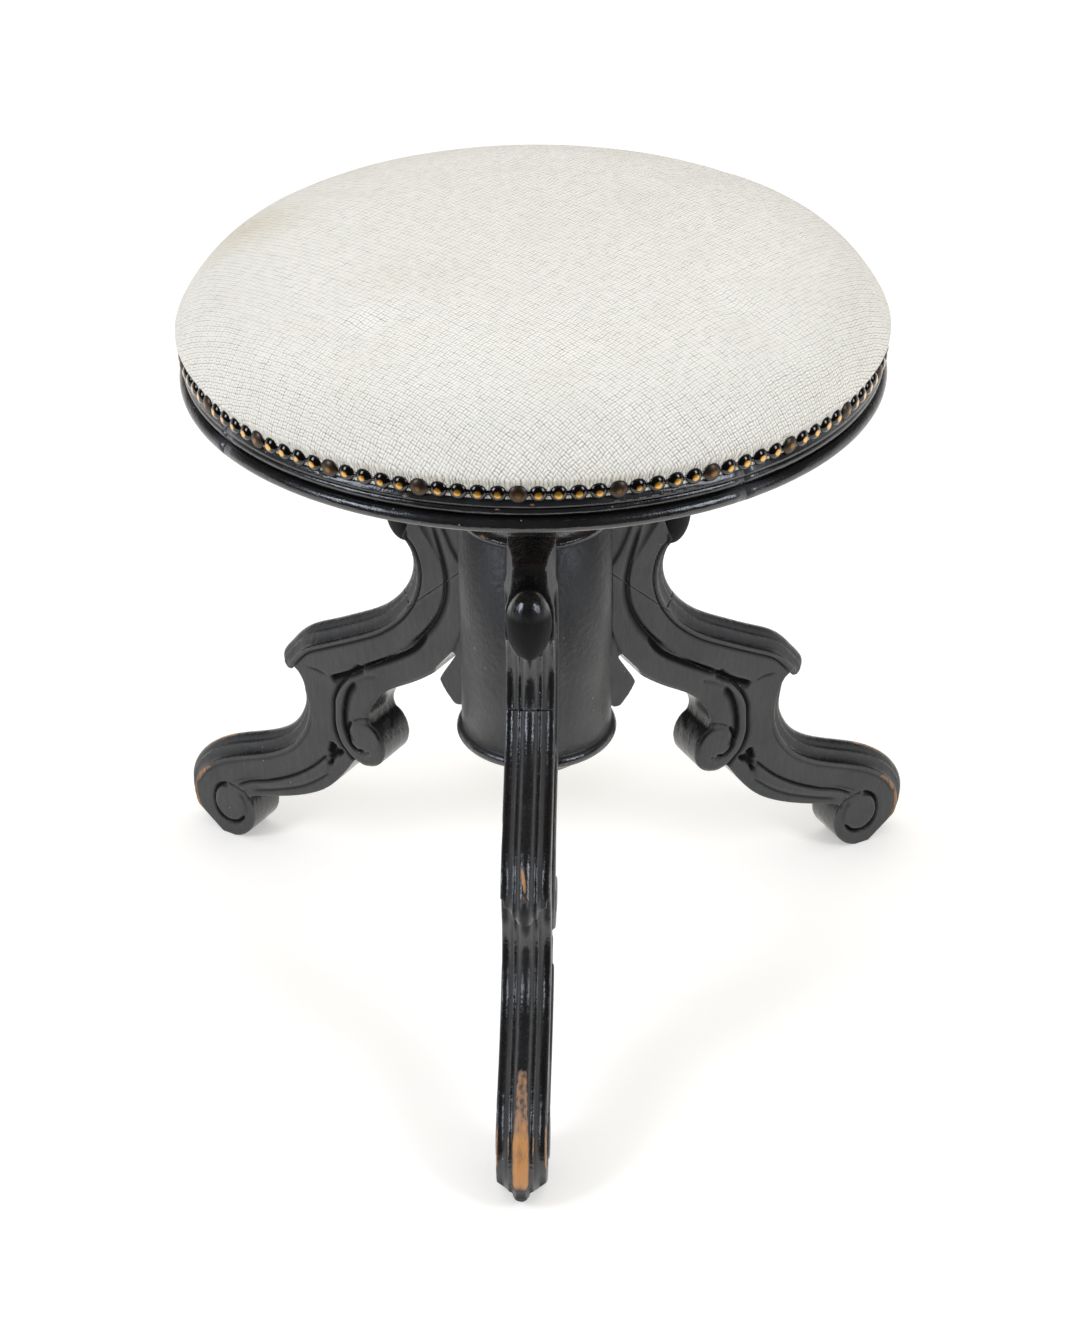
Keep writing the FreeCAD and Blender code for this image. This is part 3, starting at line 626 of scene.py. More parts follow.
@dataclass(frozen=True)
class Hopsack(Finish):
    """Cream cotton and linen in a two-by-two basket weave, cut a little off the straight.

    The eye sees small square blocks of paired threads, lying across each other by turns, with thin
    shadows between them, painted into the colour as well as bumped, a matt surface and a few faint
    tea-coloured stains. It reads the cloth's own flat map, which is in metres.
    """

    name: str = "cream_hopsack"
    thread: str = "#fffbef"
    middle: str = "#fbf4e6"
    # The colour in the gaps between threads: painted shade.
    hollow: str = "#857d6e"
    stain: str = "#e6dcc6"
    block_mm: float = 3.5
    fibre_mm: float = 0.3846
    drift_mm: float = 35.7
    stain_mm: float = 62.5
    turn_degrees: float = -51.0

    def surface(self, tree: Tree, place: Socket) -> dict[str, object]:
        """Weaves blocks of threads over and under each other and stains them.

        Args:
            tree: The node tree.
            place: Where the point is.

        Returns:
            What goes into the surface shader.
        """
        flat = put(tree, "UVMap", uv_map="flat_cloth")[0]
        drift = put(tree, "TexNoise", {"Vector": flat, "Scale": scale(self.drift_mm), "Detail": 3.0})["Color"]
        wander = put(tree, "VectorMath", (drift, (0.5, 0.5, 0.5)), operation="SUBTRACT")[0]
        wander = put(tree, "VectorMath", (wander, (0.006, 0.006, 0.0)), operation="MULTIPLY")[0]
        bent = put(tree, "VectorMath", (flat, wander), operation="ADD")[0]
        cells = scale(self.block_mm)
        grid = put(tree, "Mapping", {"Vector": bent, "Rotation": (0, 0, math.radians(self.turn_degrees)),
                                     "Scale": (cells, cells, 1.0)})[0]
        x, y, _ = put(tree, "SeparateXYZ", (grid,))
        corner = [put(tree, "Math", (axis,), operation="FLOOR")[0] for axis in (x, y)]
        total = put(tree, "Math", corner, operation="ADD")[0]
        side = put(tree, "Math", (total, 2.0), operation="FLOORED_MODULO")[0]
        height = put(tree, "Mix", {0: side, 2: self.threads(tree, x, y), 3: self.threads(tree, y, x)})[0]
        fibre = put(tree, "TexNoise", {"Vector": flat, "Scale": scale(self.fibre_mm), "Detail": 2.0})[0]
        slub = put(tree, "TexNoise", {"Vector": grid, "Scale": 0.6, "Detail": 2.0})[0]
        shade = -0.35
        for part, weight in ((fibre, 0.25), (slub, 0.5), (height, 1.0)):
            shade = put(tree, "Math", (part, weight, shade), operation="MULTIPLY_ADD")[0]
        # The ramp paints shade into the colour: darkest where the weave dips between threads.
        cloth = ramp(tree, shade, ((0.05, self.hollow), (0.34, self.middle), (0.62, self.thread)))
        colour = put(tree, "Mix", {0: self.stains(tree, place), 6: cloth, 7: linear(self.stain)},
                     data_type="RGBA", blend_type="MULTIPLY")[2]
        bump = put(tree, "Bump", {"Height": height, "Strength": 0.9, "Distance": 0.8 * MM})[0]
        soft = put(tree, "Bump", {"Height": fibre, "Strength": 0.25, "Distance": 0.12 * MM,
                                  "Normal": bump})[0]
        return {"Base Color": colour, "Roughness": 0.92, "Specular IOR Level": 0.2, "Sheen Weight": 0.12,
                "Normal": soft}

    def threads(self, tree: Tree, across: Socket, along: Socket) -> Socket:
        """The height of a block of two threads that lie side by side.

        Args:
            tree: The node tree.
            across: The place across the threads, in blocks.
            along: The place along the threads, in blocks.

        Returns:
            The height, from 0 between threads to 1 on top of one.
        """
        humps = []
        for axis, turns, flatness in ((across, 2.0, 0.55), (along, 1.0, 0.5)):
            hump = put(tree, "Math", (axis, turns * math.pi), operation="MULTIPLY")[0]
            hump = put(tree, "Math", (hump,), operation="SINE")[0]
            hump = put(tree, "Math", (hump,), operation="ABSOLUTE")[0]
            humps.append(put(tree, "Math", (hump, flatness), operation="POWER")[0])
        return put(tree, "Math", humps, operation="MULTIPLY")[0]

    def stains(self, tree: Tree, place: Socket) -> Socket:
        """Faint stains, most of them towards the left edge.

        Args:
            tree: The node tree.
            place: Where the point is.

        Returns:
            How much of the stain shows, from 0 to 1.
        """
        noise = put(tree, "TexNoise", {"Vector": place, "Scale": scale(self.stain_mm), "Detail": 4.0})[0]
        base = put(tree, "MapRange", (noise, 0.52, 0.85, 0.0, 0.22))[0]
        away = put(tree, "VectorMath", (place, (-0.165, 0.075, 0.47)), operation="DISTANCE")[1]
        patch = put(tree, "MapRange", (away, 0.05, 0.0, 0.0, 0.5), interpolation_type="SMOOTHSTEP")[0]
        return put(tree, "Math", (base, patch), operation="ADD", use_clamp=True)[0]


@dataclass(frozen=True)
class Hessian(Finish):
    """Jute sacking: coarse brown threads, one over one."""

    name: str = "jute_hessian"
    thread: str = "#a98a5c"
    # The colour in the gaps between threads: painted shade.
    hollow: str = "#4f3d25"
    thread_mm: float = 1.6

    def surface(self, tree: Tree, place: Socket) -> dict[str, object]:
        """Two sets of threads that cross.

        Args:
            tree: The node tree.
            place: Where the point is.

        Returns:
            What goes into the surface shader.
        """
        waves = []
        for turn in (0.0, math.pi / 2):
            turned = put(tree, "Mapping", {"Vector": place, "Rotation": (0, 0, turn)})[0]
            waves.append(put(tree, "TexWave", {"Vector": turned, "Scale": scale(self.thread_mm) / 20.0,
                                               "Distortion": 1.0})["Fac"])
        height = put(tree, "Math", waves, operation="MULTIPLY")[0]
        bump = put(tree, "Bump", {"Height": height, "Strength": 0.6, "Distance": 0.5 * MM})[0]
        # The ramp paints shade into the colour: darkest where the weave dips between threads.
        colour = ramp(tree, height, ((0.05, self.hollow), (0.6, self.thread)))
        return {"Base Color": colour, "Roughness": 0.95, "Normal": bump}


@dataclass(frozen=True)
class AntiqueHeads(Finish):
    """Pressed brass heads, plated black-bronze and lacquered, rubbed back to yellow brass on the crown.

    It reads each point's share of the head's radius from "share".
    """

    name: str = "antique_bronze_heads"
    plating: str = "#1c1712"
    brass: str = "#e0a640"
    rub_share: float = 0.37
    lacquer: float = 1.0
    polish: float = 0.22
    patch_mm: float = 7.69

    def surface(self, tree: Tree, place: Socket) -> dict[str, object]:
        """Brass inside an uneven ring, plating outside it, lacquer over both.

        Args:
            tree: The node tree.
            place: Where the point is.

        Returns:
            What goes into the surface shader.
        """
        share = put(tree, "Attribute", attribute_name="share")["Fac"]
        noise = put(tree, "TexNoise", {"Vector": place, "Scale": scale(self.patch_mm), "Detail": 3.0})[0]
        uneven = put(tree, "Math", (noise, 0.5, -0.25), operation="MULTIPLY_ADD")[0]
        edge = put(tree, "Math", (share, uneven), operation="ADD")[0]
        rubbed = put(tree, "MapRange", (edge, self.rub_share + 0.09, self.rub_share - 0.09))[0]
        colour = put(tree, "Mix", {0: rubbed, 6: linear(self.plating), 7: linear(self.brass)},
                     data_type="RGBA")[2]
        rough = put(tree, "MapRange", (rubbed, 0.0, 1.0, self.polish, 0.40))[0]
        return {"Base Color": colour, "Metallic": 1.0, "Roughness": rough, "Coat Weight": self.lacquer,
                "Coat Roughness": 0.10}


# Stand


@dataclass(frozen=True)
class Cut:
    """One stroke of the carver's gouge on a leg's side face, in millimetres.

    The line is drawn as (reach from the column's axis, height over the floor). Left and right are as
    seen going along it, with reach to the right and height upwards.
    """

    line: tuple[tuple[float, float], ...]
    depth: float
    left: float = 1.3
    right: float = 1.3
    run_out: float = 7.0
    beside: float = 0.0

    def way(self) -> np.ndarray:
        """The line as a smooth chain of points a millimetre apart.

        Returns:
            The chain, one point to a row.
        """
        knots = np.array(self.line)
        run = np.append(0.0, np.cumsum(np.hypot(*np.diff(knots, axis=0).T)))
        slope = np.gradient(knots, run, axis=0)
        place = np.arange(0.0, run[-1], 1.0)
        i = np.clip(np.searchsorted(run, place, side="right") - 1, 0, len(run) - 2)
        span = (run[i + 1] - run[i])[:, None]
        t = (place - run[i])[:, None] / span
        chain = (2 * t ** 3 - 3 * t ** 2 + 1) * knots[i] + (t ** 3 - 2 * t ** 2 + t) * span * slope[i]
        chain += (3 * t ** 2 - 2 * t ** 3) * knots[i + 1] + (t ** 3 - t ** 2) * span * slope[i + 1]
        return chain + self.beside * left_of(chain)

    def sink(self, drawn: np.ndarray) -> np.ndarray:
        """How deep the cut goes at each point.

        Args:
            drawn: Points as (reach, height), one to a row.

        Returns:
            The depth in millimetres.
        """
        chain = self.way()
        start, step = chain[:-1], np.diff(chain, axis=0)
        reach = max(self.left, self.right)
        near = ((drawn > chain.min(0) - reach) & (drawn < chain.max(0) + reach)).all(axis=1)
        off = drawn[near][:, None, :] - start[None]
        share = np.clip((off * step).sum(2) / (step ** 2).sum(1), 0.0, 1.0)
        away = np.linalg.norm(off - share[..., None] * step, axis=2)
        link = away.argmin(axis=1)
        row = np.arange(len(link))
        on_left = step[link, 0] * off[row, link, 1] > step[link, 1] * off[row, link, 0]
        fall = np.clip(1 - away[row, link] / np.where(on_left, self.left, self.right), 0.0, 1.0)
        along = link + share[row, link]
        ends = np.clip(np.minimum(along, len(start) - along) / self.run_out, 0.0, 1.0)
        depth = np.zeros(len(drawn))
        depth[near] = self.depth * ends * (2 - ends) * fall ** 2 * (3 - 2 * fall)
        return depth


def left_of(chain: np.ndarray) -> np.ndarray:
    """The direction to the left of a chain of points, at each of them.

    Args:
        chain: The points, one to a row.

    Returns:
        A unit vector for each point.
    """
    step = np.gradient(chain, axis=0)
    step /= np.linalg.norm(step, axis=1, keepdims=True)
    return np.stack((-step[:, 1], step[:, 0]), axis=1)


UPPER_EDGE = ((86.0, 268.0), (79.8, 260.6), (76.0, 247.4), (78.1, 232.2), (87.4, 214.7), (105.3, 197.2),
              (126.3, 184.7), (147.4, 173.6), (163.2, 164.7), (176.1, 150.2))
LOWER_EDGE = ((162.8, 118.9), (166.8, 104.7), (176.8, 89.8), (194.7, 76.8), (215.8, 67.4), (236.8, 57.4),
              (252.6, 44.7), (260.5, 30.5))
TOE = ((259.5, 16.8), (253.2, 7.0))
CUTS = (
    # The slopes beside the raised band of the upper board
    Cut(((66.0, 288.0), (62.4, 277.0), (57.4, 261.0), (55.2, 247.0), (57.2, 231.6), (63.2, 217.6),
         (71.6, 205.6), (83.3, 192.4)), 1.5, 1.5, 7.0, 14.0),
    Cut(((68.0, 209.0), (75.3, 196.9), (94.3, 181.4), (109.0, 172.3), (120.5, 165.0)), 2.8, 1.2, 4.5, 12.0),
    # The knee's scroll and its volute
    Cut(((117.9, 166.7), (131.4, 157.9), (144.9, 150.4)), 2.4, 1.0, 6.0, 4.0),
    Cut(((120.1, 166.0), (129.3, 155.4), (136.4, 145.8), (140.5, 136.6), (141.4, 125.7), (141.0, 111.5),
         (137.0, 103.5), (130.6, 97.0), (127.1, 93.1)), 1.9, 4.0, 1.0, 3.0),
    Cut(((124.2, 154.6), (130.5, 145.5), (133.6, 135.3), (134.8, 125.7), (133.5, 114.0), (128.5, 106.0)),
        1.5, 1.8, 7.0),
    Cut(((127.9, 124.1), (131.1, 118.4), (132.1, 111.6), (129.4, 106.7), (124.4, 103.4), (117.7, 104.9)),
        3.0, 1.8, 1.8),
    Cut(((127.1, 124.0), (121.8, 127.5), (115.2, 129.3)), 0.9, 0.9, 0.9, 2.0),
    Cut(((163.3, 152.3), (155.9, 152.6), (149.3, 151.5), (144.9, 150.4)), 0.8, 0.9, 1.4, 8.0),
    # The foot's scroll and its volute
    Cut(((149.5, 90.6), (154.3, 85.3), (163.1, 76.5), (173.4, 68.5), (185.3, 61.1), (197.2, 55.2),
         (214.0, 48.6), (224.0, 42.5)), 1.5, 1.0, 1.6, 5.0),
    Cut(((147.4, 77.9), (167.0, 61.6), (193.6, 48.5), (212.5, 41.5)), 1.0, 1.2, 1.2, 8.0),
    Cut(((232.7, 40.9), (241.3, 35.0), (244.3, 24.2), (241.8, 15.0), (234.8, 10.5), (226.3, 12.1),
         (219.5, 19.7)), 2.6, 1.7, 1.7),
    Cut(((232.7, 40.9), (224.5, 40.8), (218.5, 37.2), (215.1, 30.3)), 0.9, 0.9, 0.9, 3.0),
    # The hollow where the two scrolls meet
    Cut(((139.0, 98.0), (143.0, 94.0), (147.5, 88.0)), 1.9, 4.2, 3.8, 3.0),
    Cut(((144.6, 101.6), (145.8, 97.0), (146.6, 92.6)), 3.4, 3.4, 4.4, 1.6),
    Cut(((137.0, 97.6), (140.0, 94.8), (141.4, 92.6)), 3.0, 2.4, 2.4, 1.0),
    Cut(((145.6, 88.4), (147.0, 86.0), (147.9, 83.8)), 2.8, 2.1, 2.1, 1.0),
    # The quirk behind the mouldings
    Cut(UPPER_EDGE, 1.4, 1.0, 1.2, 10.0, -3.0),
    Cut(LOWER_EDGE, 0.6, 0.9, 1.4, 16.0, -3.0),
)


def carve(piece: Piece) -> None:
    """Cuts the gouge work into both side faces of a leg's board and notes how far dirt and painted shade
    darken each point.

    Args:
        piece: The board, lying along -Y.
    """
    mesh = piece.data
    points, normals = rows(mesh, "co"), rows(mesh, "normal")
    drawn = np.stack((AXIS_Y - points[:, 1], points[:, 2]), axis=1) / MM
    across = points[:, 0] / MM
    flank = np.clip((normals[:, 0] * np.sign(across) - 0.35) / 0.4, 0.0, 1.0) * (np.abs(across) > 8.0)
    depth = np.max([cut.sink(drawn) for cut in CUTS], axis=0) * flank
    points[:, 0] -= np.sign(across) * depth * MM
    mesh.vertices.foreach_set("co", points.reshape(-1))
    mesh.update()
    # Dirt and painted shade make the paint blacker and duller in the cuts and creases, on the egg's lower
    # half, on the sole's edge and under the knee.
    reach, height = drawn.T
    moulded = np.clip((0.7 - np.abs(normals[:, 0])) / 0.3, 0.0, 1.0)
    cuts = np.clip(depth / 1.2 - 0.1, 0.0, 1.0)
    creases = np.clip((-standing_proud(mesh) - 0.05) / 0.22, 0.0, 0.8)
    below_egg = np.clip((293.0 - height) / 7.0, 0.0, 0.85) * (reach > 82.0) * (height > 255.0)
    under_toe = np.clip((24.0 - height) / 14.0, 0.0, 0.8) * np.clip((reach - 220.0) / 10.0, 0.0, 1.0)
    under_knee = 0.6 * band(height, 122.0, 156.0) * (reach > 156.0)
    note(mesh, "dirt_and_shade", np.max([cuts, creases, below_egg, under_toe * moulded, under_knee * moulded], axis=0))


@dataclass
class LegWear:
    """Where one leg's paint is rubbed through, in millimetres along, across and up the leg."""

    leg: Leg

    def rule(self, points: np.ndarray, proud: np.ndarray) -> np.ndarray:
        """Gives the wear of each point.

        Args:
            points: The points, in metres.
            proud: How far each point stands out from its neighbours.

        Returns:
            The wear from 0 to 1.
        """
        turn = math.radians(self.leg.value)
        x, y, z = ((points - (0.0, AXIS_Y, 0.0)) / MM).T
        reach = x * math.cos(turn) + y * math.sin(turn)
        across = y * math.cos(turn) - x * math.sin(turn)
        rise = self.rise(reach, z)
        places = self.front if self.leg is Leg.FRONT else self.behind
        return 0.16 * np.clip((proud - 0.04) / 0.16, 0.0, 1.0) + places(reach, across, z, rise)

    def front(self, reach: np.ndarray, across: np.ndarray, z: np.ndarray, rise: np.ndarray) -> np.ndarray:
        """The front leg: a long patch on the toe's ridge, lines on its arrises, a slanting one on the knee.

        Args:
            reach: Distance of each point from the column's axis.
            across: Distance of each point from the leg's middle plane.
            z: Height of each point.
            rise: How far each point stands in front of the lower board's edge.

        Returns:
            The wear from 0 to 1.
        """
        far = np.abs(across)
        half = 3.9 + 1.9 * np.clip((reach - 229) / 32, 0, 1)
        patch = np.clip((half - far) / 2.0, 0, 1) * np.clip((reach - 226) / 6, 0, 1) * (rise > 4.0)
        patch *= np.clip((z - 15) / 8, 0, 1) * np.clip(0.71 + 0.24 * (reach - 254) / 9, 0.71, 0.95)
        rim = band(far, 12.6, 14.6) * band(rise, -2.2, 1.8) * band(z, 24.0, 52.0)
        arris = band(far, 5.9, 7.9) * band(rise, 5.2, 7.6) * band(z, 34.0, 52.0)
        slant = 1.9 * np.clip((z - 158.5) / 11.0, 0.0, 1.0) - 0.4
        knee = np.clip(1.5 - np.hypot((across + slant) / 1.4, (z - 164.5) / 6.4), 0, 1) * (reach > 165)
        brown = np.clip(1.4 - np.hypot(across / 2.4, (z - 156.5) / 3.4), 0, 1) * (reach > 165)
        return np.max([patch, 0.86 * (rim + 0.85 * arris), 0.92 * knee, 0.58 * brown], axis=0)

    def behind(self, reach: np.ndarray, across: np.ndarray, z: np.ndarray, rise: np.ndarray) -> np.ndarray:
        """The other legs: the toe's ridge and the arrises of its rims.

        Args:
            reach: Distance of each point from the column's axis.
            across: Distance of each point from the leg's middle plane.
            z: Height of each point.
            rise: How far each point stands in front of the lower board's edge.

        Returns:
            The wear from 0 to 1.
        """
        far = np.abs(across)
        crest = np.clip((2.8 - far) / 1.4, 0, 1) * (rise > 8.6) * band(reach, 228.0, 278.0) * (z > 24.0)
        rim = band(far, 11.4, 16.6) * band(rise, -4.6, 2.6) * band(z, 6.0, 54.0) * (reach > 234)
        return np.maximum(0.66 * rim, 0.80 * crest)

    def rise(self, reach: np.ndarray, z: np.ndarray) -> np.ndarray:
        """How far each point stands out in front of the lower board's front edge.

        Args:
            reach: Distance of each point from the column's axis.
            z: Height of each point.

        Returns:
            The distance, below 0 inside the board and -99 away from the edge.
        """
        chain = Cut(LOWER_EDGE + TOE, 0.0).way()
        rise = np.full(len(reach), -99.0)
        near = reach > 205
        off = np.stack((reach[near], z[near]), axis=1)[:, None, :] - chain[None]
        link = np.linalg.norm(off, axis=2).argmin(axis=1)
        rise[near] = (off[np.arange(len(link)), link] * left_of(chain)[link]).sum(1)
        return rise


@dataclass
class Stand:
    """The three legs, each a head board with an egg and a limb board with two scrolls."""

    frame: dict
    voxel: float = 0.95 * MM
    egg_reach: float = 82.0 * MM
    egg_foot: float = 259.0 * MM
    paint: EbonisedWood = field(default_factory=EbonisedWood)

    def make(self) -> list[str]:
        """Builds and dresses the boards.

        Returns:
            The nodes that they stand for.
        """
        black = self.paint.build()
        nodes = []
        for board in ("head", "limb"):
            pattern = self.carved_board(board)
            for leg in Leg:
                nodes.append(f"leg_{leg.label}_{board}")
                self.place_board(pattern, nodes[-1], leg, black)
            bpy.data.objects.remove(pattern)
        return nodes

    def carved_board(self, board: str) -> Piece:
        """Models one board of the leg with the soft arrises and the gouge work of hand carving.

        Args:
            board: Which board, "head" or "limb".

        Returns:
            The board, lying along -Y as in the front leg.
        """
        piece = merged_copy(self.frame["nodes"][f"leg_front_{board}"], f"pattern_{board}")
        mesh = piece.data
        mesh.remesh_voxel_size = self.voxel
        mesh.remesh_voxel_adaptivity = 0.0
        only(piece)
        bpy.ops.object.voxel_remesh()
        finish_modifier(piece, "SMOOTH", factor=0.5, iterations=4)
        carve(piece)
        finish_modifier(piece, "SMOOTH", factor=0.35, iterations=1)
        points, normals = rows(piece.data, "co"), rows(piece.data, "normal")
        egg = (AXIS_Y - points[:, 1] > self.egg_reach) & (points[:, 2] > self.egg_foot)
        moulded = np.clip((0.80 - np.abs(normals[:, 0])) / 0.3, 0.0, 1.0)
        note(piece.data, "polished", np.maximum(moulded, egg))
        return piece

    def place_board(self, pattern: Piece, node: str, leg: Leg, black: bpy.types.Material) -> None:
        """Sets a copy of a board on one leg and wears it as that leg is worn.

        Args:
            pattern: The board as modelled for the front leg.
            node: The node of the model that it stands for.
            leg: The leg that it goes on.
            black: The paint.
        """
        piece = linked(f"{node}_carved", pattern.data.copy())
        turn = Matrix.Rotation(math.radians(leg.value - Leg.FRONT.value), 4, "Z")
        piece.data.transform(Matrix.Translation((0, AXIS_Y, 0)) @ turn @ Matrix.Translation((0, -AXIS_Y, 0)))
        piece.data.update()
        wear(piece, LegWear(leg).rule)
        dress(piece, black, Body.STAND.value, [node])


# Seat


@dataclass
class Cushion:
    """The upholstered pad under its hopsack cover."""

    radius: float = 201.6 * MM
    crown: float = 476.6 * MM
    base: float = 430.0 * MM
    tuck_radius: float = 197.35 * MM
    wall_radius: float = 196.10 * MM
    tuck: float = 424.8 * MM
    hem: float = 415.9 * MM
    points_round: int = 192
    top_share: float = 0.70
    shoulder_share: float = 0.86
    profile: tuple[tuple[float, float], ...] = ((0.80, 0.77), (0.86, 0.68), (0.900, 0.56), (0.935, 0.41),
                                                (0.960, 0.27), (0.982, 0.13), (1.0, -0.01))
    pressure: float = 2.0
    moments: int = 20
    swell_limit: float = 3.0 * MM

    def make(self) -> list[str]:
        """Models the pad, fills it and lays its cloth.

        Returns:
            The nodes that it stands for.
        """
        nodes = ["cushion_cover", "stuffing"]
        piece = self.sewn_shape()
        self.fill(piece)
        finish_modifier(piece, "SUBSURF", levels=1, render_levels=1)
        self.lay_cloth(piece)
        dress(piece, Hopsack().build(), Body.SEAT.value, nodes)
        return nodes

    def sewn_shape(self) -> Piece:
        """Models the closed shape: crown, rolled shoulder, drawn-in side, skirt and flat underside.

        Returns:
            The cushion.
        """
        height = self.crown - self.base
        last_r, last_z = self.radius * self.top_share, self.base + height * self.shoulder_share
        bpy.ops.object.select_all(action="DESELECT")
        bpy.ops.mesh.primitive_circle_add(vertices=self.points_round, radius=last_r, fill_type="NOTHING",
                                          location=(0, AXIS_Y, last_z), enter_editmode=True)
        piece = bpy.context.active_object
        piece.name = "cushion"
        piece.data.name = "cushion"
        bpy.ops.mesh.select_all(action="SELECT")
        bpy.ops.mesh.fill_grid(span=self.points_round // 4)
        self.select_rim(piece)
        skirt, inner = (self.tuck + self.hem) / 2, self.tuck - 0.4 * MM
        rings = [(self.radius * r, self.base + height * z) for r, z in self.profile]
        rings += [(self.radius * 0.9935, self.base - 2.6 * MM), (self.tuck_radius, self.tuck),
                  (self.tuck_radius, skirt), (self.tuck_radius, self.hem), (self.wall_radius, self.hem),
                  (self.wall_radius, skirt), (self.wall_radius, inner), (self.wall_radius * 0.97, inner)]
        for r, z in rings:
            bpy.ops.mesh.extrude_edges_move(TRANSFORM_OT_translate={"value": (0, 0, z - last_z)})
            bpy.ops.transform.resize(value=(r / last_r, r / last_r, 1), center_override=(0, AXIS_Y, 0))
            last_r, last_z = r, z
        bpy.ops.mesh.fill_grid(span=self.points_round // 4)
        bpy.ops.mesh.select_all(action="SELECT")
        bpy.ops.mesh.normals_make_consistent(inside=False)
        bpy.ops.object.mode_set(mode="OBJECT")
        settle(piece)
        self.crown_up(piece)
        return piece

    def select_rim(self, piece: Piece) -> None:
        """Selects the open rim of a piece in edit mode.

        Args:
            piece: The piece.
        """
        bpy.ops.mesh.select_all(action="DESELECT")
        form = bmesh.from_edit_mesh(piece.data)
        for edge in form.edges:
            edge.select_set(edge.is_boundary)
        form.select_flush(True)
        bmesh.update_edit_mesh(piece.data)

    def crown_up(self, piece: Piece) -> None:
        """Raises the flat top into its low crown.

        Args:
            piece: The cushion.
        """
        start = self.radius * self.top_share
        low = self.base + (self.crown - self.base) * self.shoulder_share
        top = self.crown - 1.0 * MM
        for vertex in piece.data.vertices:
            r = math.hypot(vertex.co.x, vertex.co.y - AXIS_Y)
            if r < start and vertex.co.z > self.base:
                vertex.co.z = low + (top - low) * (1 - (r / start) ** 2)

    def fill(self, piece: Piece) -> None:
        """Blows the pad up a little with a cloth simulation, its skirt and underside held.

        Args:
            piece: The cushion.
        """
        before = rows(piece.data, "co")
        held = piece.vertex_groups.new(name="held")
        held.add(np.flatnonzero(before[:, 2] < self.base - 1.0 * MM).tolist(), 1.0, "REPLACE")
        only(piece)
        cloth = piece.modifiers.new("cloth", "CLOTH")
        for name, value in {"quality": 6, "vertex_group_mass": "held", "tension_stiffness": 30,
                            "compression_stiffness": 30, "bending_stiffness": 4, "use_pressure": True,
                            "uniform_pressure_force": self.pressure}.items():
            setattr(cloth.settings, name, value)
        cloth.settings.effector_weights.gravity = 0
        cloth.point_cache.frame_start = 1
        cloth.point_cache.frame_end = self.moments
        for moment in range(1, self.moments + 1):
            bpy.context.scene.frame_set(moment)
        bpy.ops.object.modifier_apply(modifier=cloth.name)
        bpy.context.scene.frame_set(1)
        move = rows(piece.data, "co") - before
        length = np.maximum(np.linalg.norm(move, axis=1, keepdims=True), 1e-9)
        LOG.info("cushion swells by up to %.2f mm", length.max() / MM)
        move *= np.minimum(1.0, self.swell_limit / length)
        piece.data.vertices.foreach_set("co", (before + move).reshape(-1))
        piece.vertex_groups.clear()

    def lay_cloth(self, piece: Piece) -> None:
        """Maps the cover as the flat cloth it was cut from, so that the weave runs over the shoulder.

        Args:
            piece: The cushion.
        """
        mesh = piece.data
        x, y, z = (rows(mesh, "co") - (0.0, AXIS_Y, 0.0)).T
        r, turn = np.hypot(x, y), np.arctan2(y, x)
        fall = np.clip(self.crown - 7.0 * MM - z, 0, None)
        run = r + np.where(r > 0.72 * self.radius, 0.62 * fall, 0.0)
        flat = np.stack((run * np.cos(turn), run * np.sin(turn)), axis=1)
        corners = np.empty(len(mesh.loops), dtype=np.int64)
        mesh.loops.foreach_get("vertex_index", corners)
        mesh.uv_layers.new(name="flat_cloth").data.foreach_set("uv", flat[corners].reshape(-1))


